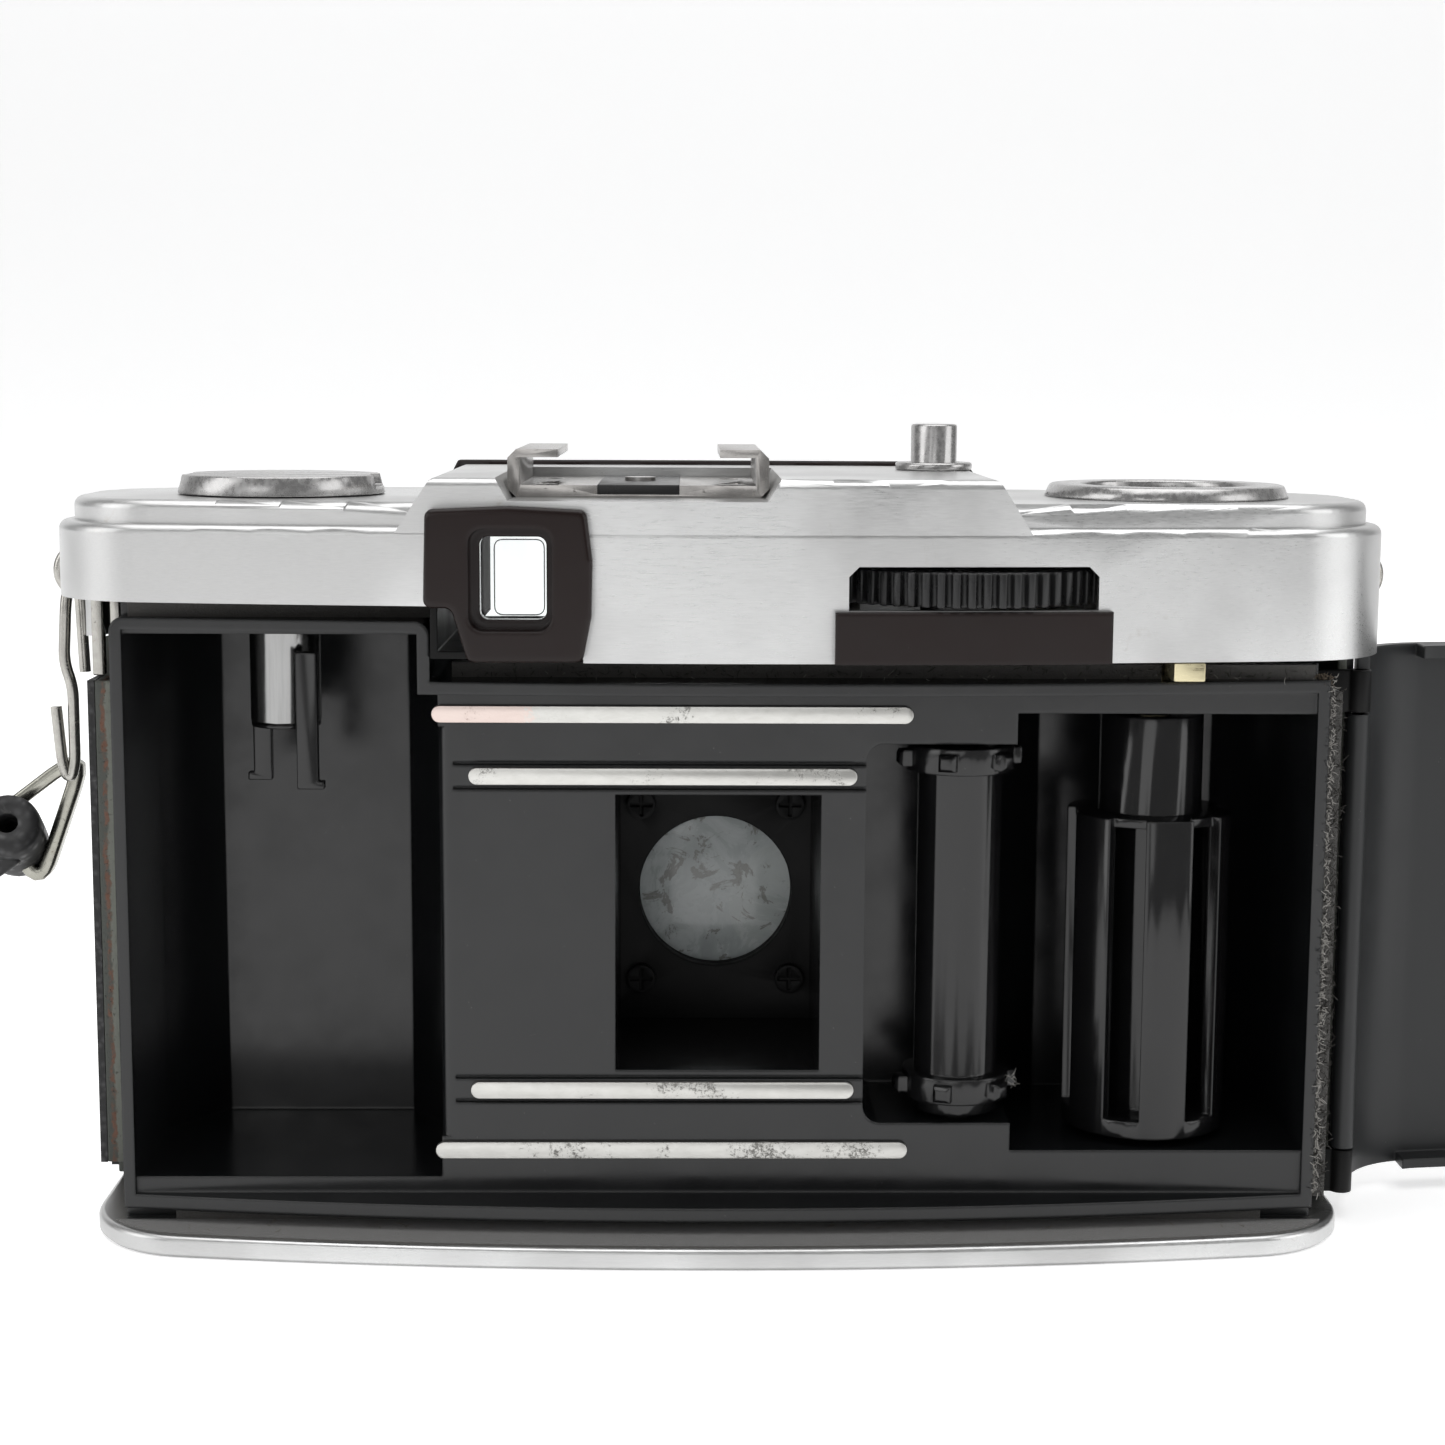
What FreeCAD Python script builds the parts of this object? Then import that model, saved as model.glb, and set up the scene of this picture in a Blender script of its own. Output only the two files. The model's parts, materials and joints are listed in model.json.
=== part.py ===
# Compact half-frame viewfinder camera, back door open, wrist strap on its left lug.
# Millimetres. +X to the camera's right end seen from behind, +Y the way the lens points, +Z up.
# The origin is the mouth of the tripod socket, in the middle of the base plate.
import FreeCAD, Part
import math
import os

os.makedirs("parts", exist_ok=True)
V = FreeCAD.Vector

# ---- driving dimensions -------------------------------------------------------------------
BOW_R = 320.0            # front and back faces bulge on this radius
CORNER_R = 9.5           # plan corners of the plates
BASE_HALF_W = 53.5
BASE_HALF_D = 16.5
BASE_T = 1.9
FELT_T = 0.15            # felt on the base plate, under the closed door
COVER_HALF_W = 55.3
COVER_HALF_D = 16.2
COVER_T = 1.0
COVER_ROUND = 0.8
COVER_LOW_LEFT = 54.7    # lower edge of the top cover, tall part of the door
COVER_LOW_RIGHT = 50.25
SHOULDER_Z = 61.0
PLATFORM_Z = 62.9
ROOF_Z = 64.9
RECESS_Z = 63.1          # floor of the accessory-shoe recess
DOOR_STEP_X = -23.8      # where the door edge steps from tall to low

FILM_Y = -9.5            # film plane
BED_Y = -9.0             # casting face behind the rails
CASTING_HALF_W = 50.3
CASTING_REAR = 13.4
CASTING_FRONT = 12.0
WALL_X = 49.3            # inner face of the end walls
RIB_LOW = (3.13, 4.34)
RIB_RIGHT = (47.25, 48.3)
RIB_LEFT = (52.2, 53.2)

AXIS_X = -0.3            # optical axis
AXIS_Z = 26.74
GATE_W = 17.15
GATE_H = 23.5
RAIL_W = 1.45
OUTER_RAILS = (-24.0, 15.8, 45.26, 8.11)
INNER_RAILS = (-21.0, 11.2, 40.08, 13.33)

REWIND = (-37.3, -0.5)
WHEEL = (20.2, -4.9)     # thumb wheel and film sprocket share this axis
SPOOL = (37.0, -1.5)
COUNTER = (38.1, 1.0)
RELEASE = (18.6, 6.0)
WHEEL_R = 12.3
WHEEL_TEETH = 62
SPROCKET_PITCH = 28.17   # between the two toothed rims
SPROCKET_Z = 13.09
SHAFT_R = 1.5
RUN = 0.05               # running clearance on a shaft's radius
GEAR_MODULE = 0.6
DRIVE_TEETH = 18
IDLER_TEETH = 12

HINGE = (54.5, -2.5)     # vertical hinge axis of the back door
DOOR_OUT = (54.4, 16.3)  # half width and half depth of the closed door's outer face
DOOR_T = 1.1
DOOR_LOW = 2.1
LIP_DEPTH = 3.4
DOOR_HIGH_RIGHT = 49.7
DOOR_HIGH_LEFT = 54.4

SOCKET_R = 3.175         # quarter-inch tripod thread
SOCKET_DEPTH = 6.0
FILTER_R = 21.75         # 43.5 mm filter thread

LUG_Y = 3.5
LUG_Z = 56.0
STRAP_R = 2.5

# ---- shape helpers ------------------------------------------------------------------------


def box(x0, x1, y0, y1, z0, z1):
    return Part.makeBox(x1 - x0, y1 - y0, z1 - z0, V(x0, y0, z0))


def post(at, z0, z1, r):
    return Part.makeCylinder(r, z1 - z0, V(at[0], at[1], z0))


def ring(at, z0, z1, r_out, r_in):
    return post(at, z0, z1, r_out).cut(post(at, z0 - 1, z1 + 1, r_in))


def disc(y0, y1, r, x=AXIS_X, z=AXIS_Z):
    """Cylinder along Y, on the optical axis unless placed elsewhere."""
    return Part.makeCylinder(r, y1 - y0, V(x, y0, z), V(0, 1, 0))


def annulus(y0, y1, r_out, r_in, x=AXIS_X, z=AXIS_Z):
    return disc(y0, y1, r_out, x, z).cut(disc(y0 - 1, y1 + 1, r_in, x, z))


def prism(points, direction):
    """Polygon of (x, y, z) points pushed along direction."""
    outline = [V(*p) for p in points]
    return Part.Face(Part.makePolygon(outline + outline[:1])).extrude(V(*direction))


def column(points, z0, z1):
    """Polygon in plan, from z0 up to z1."""
    return prism([(x, y, z0) for x, y in points], (0, 0, z1 - z0))


def slab(points, y0, y1):
    """Polygon of (x, z) points seen from behind, from y0 to y1."""
    return prism([(x, y0, z) for x, z in points], (0, y1 - y0, 0))


def plan(half_w, half_d, z0, z1, corner=CORNER_R):
    """Plate with bowed front and back faces and rounded corners."""
    edge = half_d - half_w ** 2 / (2 * BOW_R)
    back = Part.Arc(V(-half_w, -edge, z0), V(0, -half_d, z0), V(half_w, -edge, z0)).toShape()
    front = Part.Arc(V(half_w, edge, z0), V(0, half_d, z0), V(-half_w, edge, z0)).toShape()
    right = Part.makeLine(V(half_w, -edge, z0), V(half_w, edge, z0))
    left = Part.makeLine(V(-half_w, edge, z0), V(-half_w, -edge, z0))
    solid = Part.Face(Part.Wire([back, right, front, left])).extrude(V(0, 0, z1 - z0))
    return solid.makeFillet(corner, upright_edges(solid))


def rounded_top(solid, r):
    """The solid with the rim of its top face rounded over."""
    top = solid.BoundBox.ZMax
    rim = [e for e in solid.Edges if e.BoundBox.ZMin > top - 0.01]
    return solid.makeFillet(r, rim)


def upright_edges(solid):
    found = []
    for edge in solid.Edges:
        low, high = edge.BoundBox, edge.BoundBox
        if low.XLength < 0.001 and high.YLength < 0.001:
            found.append(edge)
    return found


def edges_along_y(solid):
    return [e for e in solid.Edges if e.BoundBox.XLength < 0.001 and e.BoundBox.ZLength < 0.001]


def fuse(first, *others):
    return first.multiFuse(list(others)).removeSplitter() if others else first


def group(*solids):
    return Part.makeCompound([s for shape in solids for s in shape.Solids])


def tube(points, r):
    """Round bar along straight runs joined by tangent arcs."""
    pts = [V(*p) for p in points]
    edges = []
    start = pts[0]
    for before, corner, after in zip(pts, pts[1:], pts[2:]):
        into = (corner - before).normalize()
        out = (after - corner).normalize()
        turn = into.getAngle(out)
        reach = 0.45 * min((corner - before).Length, (after - corner).Length)
        begin = corner - into * reach
        end = corner + out * reach
        radius = reach / math.tan(turn / 2)
        middle = corner + (out - into).normalize() * (radius / math.cos(turn / 2) - radius)
        edges.append(Part.makeLine(start, begin))
        edges.append(Part.Arc(begin, middle, end).toShape())
        start = end
    edges.append(Part.makeLine(start, pts[-1]))
    path = Part.Wire(edges)
    section = Part.Wire(Part.makeCircle(r, pts[0], pts[1] - pts[0]))
    solid = path.makePipeShell([section], True, False)
    ratio = solid.Volume / (math.pi * r * r * path.Length)
    print("tube length %.1f mm, volume ratio %.4f" % (path.Length, ratio))
    return solid


def turn_radii(points):
    pts = [V(*p) for p in points]
    radii = []
    for before, corner, after in zip(pts, pts[1:], pts[2:]):
        half_turn = (corner - before).getAngle(after - corner) / 2
        radii.append(round(0.45 * min((corner - before).Length, (after - corner).Length)
                           / math.tan(half_turn), 1))
    return radii


def toothed(at, z0, z1, r_root, r_tip, teeth, phase=0.0, root_share=0.62, tip_share=0.38):
    """Disc with straight-sided teeth; phase is the angle of a tooth's middle."""
    step = 2 * math.pi / teeth
    points = []
    for i in range(teeth):
        middle = phase + i * step
        for r, share in ((r_root, -root_share), (r_tip, -tip_share),
                         (r_tip, tip_share), (r_root, root_share)):
            angle = middle + share * step / 2
            points.append((at[0] + r * math.cos(angle), at[1] + r * math.sin(angle)))
    return column(points, z0, z1)


def gear(at, z0, z1, teeth, phase):
    pitch_r = GEAR_MODULE * teeth / 2
    return toothed(at, z0, z1, pitch_r - 0.75 * GEAR_MODULE, pitch_r + 0.55 * GEAR_MODULE,
                   teeth, phase, 0.60, 0.26)


def screw(at, z_head, z_tip, head_r, shank_r, head_t):
    """Countersunk-style screw driven upwards from z_head, with a cross slot."""
    head = post(at, z_head, z_head + head_t, head_r)
    shank = post(at, z_head + head_t, z_tip, shank_r)
    body = fuse(head, shank)
    slot = 0.35
    for dx, dy in ((0.8 * head_r, slot / 2), (slot / 2, 0.8 * head_r)):
        body = body.cut(box(at[0] - dx, at[0] + dx, at[1] - dy, at[1] + dy,
                            z_head - 0.1, z_head + 0.35))
    return body


def opened(shape):
    """A closed-door shape swung half a turn to the open position."""
    swung = shape.copy()
    swung.rotate(V(HINGE[0], HINGE[1], 0), V(0, 0, 1), 180)
    return swung


NODES = {}


def save(name, shape):
    NODES[name] = shape
    shape.exportStep("parts/%s.step" % name)
    valid = shape.isValid() and all(s.isValid() and s.isClosed() for s in shape.Solids)
    print("%-24s solids %2d  volume %9.2f %s" % (name, len(shape.Solids), shape.Volume,
                                                 "" if valid else "NOT VALID"))


# ---- base ---------------------------------------------------------------------------------
BASE_SCREWS = [(-45.0, -4.0), (45.0, 3.0), (-14.0, 9.5), (14.0, 9.5)]
SCREW_HEAD_R = 2.0
SCREW_SHANK_R = 0.9
SCREW_TIP_Z = 5.2
BUTTON_R = 2.4


def base_plate():
    plate = plan(BASE_HALF_W, BASE_HALF_D, 0, BASE_T)
    plate = rounded_top(plate, 0.5)
    rim = [e for e in plate.Edges if e.BoundBox.ZMax < 0.01]
    plate = plate.makeChamfer(0.45, rim)
    plate = plate.cut(post((0, 0), -1, 3, 5.5))
    plate = plate.cut(post(WHEEL, -1, 3, BUTTON_R + 0.1))
    for at in BASE_SCREWS:
        plate = plate.cut(fuse(post(at, -1, 1.0, SCREW_HEAD_R), post(at, 0.9, 3, SCREW_SHANK_R)))
    return plate


def tripod_socket():
    bush = fuse(post((0, 0), 0, BASE_T, 5.5), post((0, 0), BASE_T, 7.2, 6.5))
    return bush.cut(post((0, 0), -1, SOCKET_DEPTH, SOCKET_R))


save("base_plate", base_plate())
save("tripod_socket", tripod_socket())
save("base_screws", group(*[screw(at, 0.05, SCREW_TIP_Z, SCREW_HEAD_R - 0.02, SCREW_SHANK_R, 0.95)
                            for at in BASE_SCREWS]))

# ---- body casting, film bed and chambers --------------------------------------------------
BED_EDGE_X = -23.5
CHAMBER_X = (-WALL_X, BED_EDGE_X)
CHAMBER_Z = (5.7, 51.8)
TAKEUP_Z = (8.0, 45.4)
SPROCKET_X = (12.0, 24.5)
SPROCKET_POCKET_Z = (10.4, 42.8)
LIGHTBOX_FRONT = 8.6
PLATE_Y = (LIGHTBOX_FRONT, 9.8)
PLATE_HALF = 13.0
HOUSING_R = 17.5
FORK_HOLE_R = 5.2


PIN_GAP = box(36.3, 39.5, -10, -5, 48.3, 51)


def casting_outline(z0, z1):
    edge = CASTING_REAR - CASTING_HALF_W ** 2 / (2 * BOW_R)
    back = Part.Arc(V(-CASTING_HALF_W, -edge, z0), V(0, -CASTING_REAR, z0),
                    V(CASTING_HALF_W, -edge, z0)).toShape()
    corners = [(CASTING_HALF_W, -edge), (CASTING_HALF_W, 5.0), (44.5, CASTING_FRONT),
               (-44.5, CASTING_FRONT), (-CASTING_HALF_W, 5.0), (-CASTING_HALF_W, -edge)]
    sides = Part.makePolygon([V(x, y, z0) for x, y in corners])
    return Part.Face(Part.Wire([back] + sides.Edges)).extrude(V(0, 0, z1 - z0))


def film_chamber(x0, x1, z0, z1, slope_in):
    """Pocket whose front corners are cut off, open to the back."""
    return column([(x0, BED_Y - 8), (x1, BED_Y - 8), (x1, 4.5), (x1 - slope_in, 10.9),
                   (x0 + slope_in, 10.9), (x0, 4.5)], z0, z1)


def rail_grooves():
    """Fine grooves above and below each inner rail."""
    x0, x1, z_top, z_low = INNER_RAILS
    found = []
    for z in (z_top, z_low):
        for side in (-1, 1):
            z_mid = z + side * (RAIL_W / 2 + 0.3)
            found.append(box(BED_EDGE_X + 1.2, SPROCKET_X[0] + 0.1, BED_Y - 1, BED_Y + 0.35,
                             z_mid - 0.14, z_mid + 0.14))
    return found


def bed_edge_waste():
    """What the rounded left edge of the film bed takes off."""
    z0, z1 = OUTER_RAILS[3] + 1.1, OUTER_RAILS[2] - 1.1
    corner = box(BED_EDGE_X - 0.5, BED_EDGE_X + 1.0, BED_Y - 0.5, BED_Y + 1.0, z0, z1)
    return corner.cut(fuse(post((BED_EDGE_X + 1.0, BED_Y + 1.0), z0 - 1, z1 + 1, 1.0),
                           box(BED_EDGE_X - 1, BED_EDGE_X, -12, BED_Y + 2, z0 - 1, z1 + 1)))


def sprocket_pocket():
    pocket = box(SPROCKET_X[0], SPROCKET_X[1] + 4.0, BED_Y - 1, 3.5, *SPROCKET_POCKET_Z)
    left = [e for e in edges_along_y(pocket) if e.BoundBox.XMax < SPROCKET_X[1]]
    return pocket.makeFillet(1.5, left)


def body_casting():
    low = casting_outline(BASE_T, RIB_RIGHT[1])
    tall = casting_outline(RIB_RIGHT[1] - 1, RIB_LEFT[1]).common(box(-60, DOOR_STEP_X, -30, 30, 0, 60))
    tall = tall.makeFillet(1.2, [e for e in edges_along_y(tall) if e.BoundBox.ZMin > RIB_LEFT[1] - 0.01])
    body = fuse(low, tall)
    back = -30
    cuts = [
        box(-60, 60, back, -8.5, 0, RIB_LOW[0]),
        box(-WALL_X, WALL_X, back, BED_Y, RIB_LOW[1], RIB_RIGHT[0]),
        box(-WALL_X, DOOR_STEP_X - 1.0, back, BED_Y, RIB_RIGHT[0] - 1, RIB_LEFT[0]),
        film_chamber(CHAMBER_X[0], CHAMBER_X[1], CHAMBER_Z[0], CHAMBER_Z[1], 4.5).common(
            box(-60, 0, BED_Y - 0.001, 30, 0, 60)),
        sprocket_pocket(),
        bed_edge_waste(),
        *rail_grooves(),
        film_chamber(SPROCKET_X[1], WALL_X, TAKEUP_Z[0], TAKEUP_Z[1], 4.5).common(
            box(0, 60, BED_Y - 0.001, 30, 0, 60)),
        box(AXIS_X - GATE_W / 2, AXIS_X + GATE_W / 2, BED_Y - 1, LIGHTBOX_FRONT,
            AXIS_Z - GATE_H / 2, AXIS_Z + GATE_H / 2),
        box(AXIS_X - PLATE_HALF, AXIS_X + PLATE_HALF, LIGHTBOX_FRONT, 20,
            AXIS_Z - PLATE_HALF, AXIS_Z + PLATE_HALF),
        disc(PLATE_Y[1], 20, HOUSING_R + 0.1),
        post((0, 0), 0, 7.2, 6.5),
        post(WHEEL, 0, 4.9, BUTTON_R + 0.1),
        post(WHEEL, 0, 60, SHAFT_R + RUN),
        post(SPOOL, 6.0, 60, SHAFT_R + RUN),
        post(REWIND, 50, 60, FORK_HOLE_R),
    ]
    body = body.cut(Part.makeCompound(cuts))
    for at in BASE_SCREWS:
        body = body.cut(post(at, 0, SCREW_TIP_Z + 0.3, SCREW_SHANK_R))
    trap_right = box(DOOR_STEP_X + 1.5, CASTING_HALF_W - 0.6, -7.4, -6.4, 48.2, 49.5).cut(PIN_GAP)
    trap_left = box(-CASTING_HALF_W + 0.6, DOOR_STEP_X - 0.2, -7.4, -6.4, 53.1, 55.6)
    return fuse(body, trap_right, trap_left.cut(post(REWIND, 50, 60, FORK_HOLE_R)))


def film_rails():
    rails = []
    for x0, x1, z_top, z_low in (OUTER_RAILS, INNER_RAILS):
        for z in (z_top, z_low):
            half = RAIL_W / 2
            bar = box(x0 + half, x1 - half, FILM_Y, BED_Y, z - half, z + half)
            ends = [disc(FILM_Y, BED_Y, half, x, z) for x in (x0 + half, x1 - half)]
            rails.append(fuse(bar, *ends))
    return group(*rails)


def light_seals():
    """Foam and velvet strips at the bottom of the door grooves and beside the hinge."""
    return group(
        box(DOOR_STEP_X + 1.5, CASTING_HALF_W - 1.2, -9.0, -7.4, 48.3, 49.5).cut(PIN_GAP),
        box(-CASTING_HALF_W + 1.5, DOOR_STEP_X - 0.3, -9.0, -7.4, 53.2, 54.6),
        box(-46.0, 46.0, -9.2, -8.5, BASE_T, RIB_LOW[0]),
        plan(BASE_HALF_W - 0.5, BASE_HALF_D - 0.5, BASE_T, BASE_T + FELT_T).common(
            box(-60, 60, -20, -9.2, 0, 5)),
        box(CASTING_HALF_W, 51.9, -7.2, -3.4, 3.4, 47.0),
    )


save("body_casting", body_casting())
save("film_rails", film_rails())
save("light_seals", light_seals())

# ---- top cover ----------------------------------------------------------------------------
ROOF_BASE = (-26.2, 24.6)
ROOF_TOP = (-23.3, 21.8)
SHOE_RECESS = (-18.2, -17.2, 3.4, 4.5)
EYE_FOOT = (-20.3, -11.2)
EYE_OUTLINE = [(-23.8, 54.7), (-21.6, 54.7), (EYE_FOOT[0], 50.4), (EYE_FOOT[1], 50.4), (-10.5, 54.0),
               (-10.4, 58.5), (-10.9, 62.5), (-17.0, 62.8), (-23.6, 62.5)]
WHEEL_WINDOW = [(9.9, 54.5), (30.0, 54.5), (30.0, 57.2), (29.2, 58.0), (10.7, 58.0), (9.9, 57.2)]


def eye_block(y0, y1):
    """Outline of the eyepiece frame with softened corners, from y0 to y1."""
    block = slab(EYE_OUTLINE, y0, y1)
    return block.makeFillet(0.7, edges_along_y(block))


def stepped_block(inset, floor_z, roof_drop, round_r=0):
    """Shoulders, inset platform and sloped centre block of the cover."""
    half_w = COVER_HALF_W - inset
    half_d = COVER_HALF_D - inset
    low = plan(half_w, half_d, floor_z, SHOULDER_Z - roof_drop)
    middle = plan(half_w - 1.1, half_d - 1.1, SHOULDER_Z - roof_drop - 0.5, PLATFORM_Z - roof_drop)
    z_low = SHOULDER_Z - roof_drop - 0.5
    centre = slab([(ROOF_BASE[0] + inset, z_low), (ROOF_BASE[1] - inset, z_low),
                   (ROOF_TOP[1] - inset, ROOF_Z - roof_drop), (ROOF_TOP[0] + inset, ROOF_Z - roof_drop)],
                  -30, 30)
    centre = centre.common(plan(half_w, half_d, z_low, ROOF_Z + 1))
    if round_r:
        low = rounded_top(low, round_r)
        middle = rounded_top(middle, round_r)
        centre = rounded_top(centre, round_r)
    return fuse(low, middle, centre)


def top_cover():
    outer = stepped_block(0, COVER_LOW_RIGHT, 0, COVER_ROUND)
    inner = stepped_block(COVER_T, COVER_LOW_RIGHT - 5, COVER_T)
    recess = slab([(SHOE_RECESS[0], ROOF_Z + 1), (SHOE_RECESS[0], ROOF_Z), (SHOE_RECESS[1], RECESS_Z),
                   (SHOE_RECESS[2], RECESS_Z), (SHOE_RECESS[3], ROOF_Z), (SHOE_RECESS[3], ROOF_Z + 1)],
                  -30, 9.2)
    shelf = box(SHOE_RECESS[0] - 0.8, SHOE_RECESS[3] + 0.8, -20, 10.2, RECESS_Z - 0.9, ROOF_Z)
    hollow = inner.cut(shelf)
    cover = outer.cut(hollow)
    cuts = [
        recess,
        box(-70, EYE_FOOT[0], -30, 4.0, 40, COVER_LOW_LEFT),
        box(EYE_FOOT[0] - 1, EYE_FOOT[1], -30, -10, 40, 51.0),
        eye_block(-30, -10),
        slab(WHEEL_WINDOW, -30, -10),
        box(-23.0, -12.4, 10, 30, 50.6, 60.4),
        box(-9.0, 3.0, 10, 30, 53.0, 61.0),
        post(REWIND, 50, 70, 3.2),
        post(COUNTER, 58, 70, 7.2),
        post(RELEASE, 58, 70, 2.05),
    ]
    return cover.cut(Part.makeCompound(cuts))


def on_back(outline_box, thickness, half_w=COVER_HALF_W, half_d=COVER_HALF_D):
    """Thin skin on the bowed back face, limited to a box."""
    z0, z1 = outline_box.BoundBox.ZMin, outline_box.BoundBox.ZMax
    skin = plan(half_w + thickness, half_d + thickness, z0, z1).cut(plan(half_w, half_d, z0 - 1, z1 + 1))
    return skin.common(outline_box)


def eyepiece_bezel():
    frame = eye_block(-17.5, -14.6)
    frame = frame.makeFillet(0.45, [e for e in frame.Edges if e.BoundBox.YMax < -17.49])
    opening = box(-20.2, -13.6, -18, -15.9, 52.9, 61.0)
    opening = opening.makeFillet(1.2, edges_along_y(opening))
    inner = box(-19.4, -14.1, -17, -14, 53.7, 60.3)
    inner = inner.makeFillet(0.7, edges_along_y(inner))
    return frame.cut(fuse(opening, inner))


def thumb_plate():
    return on_back(box(8.8, 31.1, -20, -10, 50.25, 54.45), 0.8)


def front_window_bezel():
    band = on_back(box(-26.0, 25.7, 10, 20, 50.4, ROOF_Z + 0.4), 0.8)
    band = band.common(slab([(-26.0, 50), (-26.0, SHOULDER_Z), (ROOF_TOP[0] - 0.2, ROOF_Z + 1),
                             (ROOF_TOP[1] + 0.2, ROOF_Z + 1), (25.7, SHOULDER_Z), (25.7, 50)], 0, 30))
    windows = [box(-23.0, -12.4, 10, 30, 51.0, 60.4), box(-9.0, 3.0, 10, 30, 53.0, 61.0)]
    return band.cut(Part.makeCompound(windows))


def front_window_glass():
    panes = []
    for x0, x1, z0, z1 in ((-23.0, -12.4, 51.0, 60.4), (-9.0, 3.0, 53.0, 61.0)):
        panes.append(box(x0, x1, 15.9, 16.5, z0, z1))
    return group(*panes)


def finder_tube():
    outer = box(-23.6, -11.6, -13.6, 13.0, 50.3, 61.2)
    return outer.cut(box(-23.0, -12.2, -20, 20, 50.9, 60.6))


save("top_cover", top_cover())
save("eyepiece_bezel", eyepiece_bezel())
save("eyepiece_lens", box(-20.4, -13.2, -14.6, -13.6, 52.8, 60.9))
save("finder_tube", finder_tube())
save("front_window_bezel", front_window_bezel())
save("front_window_glass", front_window_glass())
save("thumb_plate", thumb_plate())

# ---- accessory shoe -----------------------------------------------------------------------
SHOE_X = (-17.6, 3.7)
SHOE_Y = (-9.5, 8.5)
SHOE_TOP = 67.0
SHOE_BASE_T = 1.0
SHOE_BRIDGE_T = 0.25
INSERT_X = (-10.3, -3.6)


def accessory_shoe():
    x0, x1 = SHOE_X
    z0, z1 = RECESS_Z, SHOE_TOP
    cut = 0.7
    outer = slab([(x0 + cut, z0), (x1 - cut, z0), (x1, z0 + cut), (x1, z1 - cut), (x1 - cut, z1),
                  (x0 + cut, z1), (x0, z1 - cut), (x0, z0 + cut)], *SHOE_Y)
    channel = box(x0 + 1.05, x1 - 1.05, -20, 20, z0 + SHOE_BASE_T, z1 - 0.65)
    mouth = box(-13.5, -0.3, -20, 20, z0 + SHOE_BASE_T, z1 + 1)
    insert = box(INSERT_X[0], INSERT_X[1], -20, 20, z0 + SHOE_BRIDGE_T, z0 + SHOE_BASE_T + 1)
    ends = group(*[post((x, y), z0 - 1, z0 + 2, 0.9) for x, y in SHOE_SCREWS])
    return outer.cut(channel).cut(mouth).cut(insert).cut(ends)


CONTACT = (-6.95, -0.5)
SHOE_SCREWS = [(-14.6, -5.5), (0.7, -5.5), (-14.6, 4.5), (0.7, 4.5)]


def shoe_screws():
    screws = []
    for at in SHOE_SCREWS:
        head = post(at, RECESS_Z, RECESS_Z + SHOE_BASE_T - 0.1, 0.9)
        slot = box(at[0] - 0.8, at[0] + 0.8, at[1] - 0.15, at[1] + 0.15, RECESS_Z + 0.6, RECESS_Z + 2)
        screws.append(head.cut(slot))
    return screws


save("accessory_shoe", accessory_shoe())
save("shoe_insulator", box(INSERT_X[0], INSERT_X[1], SHOE_Y[0], SHOE_Y[1],
                           RECESS_Z + SHOE_BRIDGE_T, RECESS_Z + 1.05).cut(post(CONTACT, 60, 70, 1.3)))
save("shoe_contact", post(CONTACT, RECESS_Z + SHOE_BRIDGE_T, RECESS_Z + 1.35, 1.3))

# ---- front shell and covering -------------------------------------------------------------
SHELL_OUT = (53.8, 16.3)
SHELL_T = 0.8
LEATHER_T = 0.6
SHELL_TOP = 50.2
LENS_HOLE_R = 22.0
FLANGE_R = 23.4


def front_shell():
    z0 = BASE_T
    outer = plan(SHELL_OUT[0], SHELL_OUT[1], z0, SHELL_TOP)
    shell = outer.cut(plan(SHELL_OUT[0] - SHELL_T, SHELL_OUT[1] - SHELL_T, z0 - 1, 60))
    shell = shell.cut(Part.makeCompound([
        box(-70, 0, -30, 0.0, 0, 60),
        box(-0.1, 70, -30, -1.0, 0, 60),
        box(-70, -45, -30, 4.0, 46.8, 60),
        box(-70, -45, -30, 4.0, 0, 4.1),
        disc(10, 20, LENS_HOLE_R),
    ]))
    hem = box(-53.0, -52.0, 0.0, 1.2, 4.1, 46.8)
    return fuse(shell, hem)


def front_leatherette():
    outer = plan(SHELL_OUT[0] + LEATHER_T, SHELL_OUT[1] + LEATHER_T, 2.6, 49.6)
    skin = outer.cut(plan(SHELL_OUT[0], SHELL_OUT[1], 0, 60))
    return skin.cut(Part.makeCompound([
        box(-70, 0, -30, 0.0, 0, 60),
        box(-0.1, 70, -30, -0.8, 0, 60),
        box(-70, -45, -30, 4.0, 46.8, 60),
        box(-70, -45, -30, 4.0, 0, 4.1),
        disc(10, 20, FLANGE_R + 0.2),
    ]))


save("front_shell", front_shell())
save("front_leatherette", front_leatherette())

# ---- lens and shutter ---------------------------------------------------------------------
BLADE_PIVOTS = ((AXIS_X - 10.5, AXIS_Z + 5.0), (AXIS_X + 10.5, AXIS_Z + 5.0))
BLADE_Y = ((13.0, 13.3), (13.5, 13.8))


def lens_mount_plate():
    plate = box(AXIS_X - 13, AXIS_X + 13, PLATE_Y[0], PLATE_Y[1], AXIS_Z - 13, AXIS_Z + 13)
    plate = plate.cut(disc(0, 20, 6.9))
    for dx in (-6.7, 6.7):
        for dz in (-8.0, 8.0):
            plate = plate.cut(disc(0, 20, 0.8, AXIS_X + dx, AXIS_Z + dz))
    return plate


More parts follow.
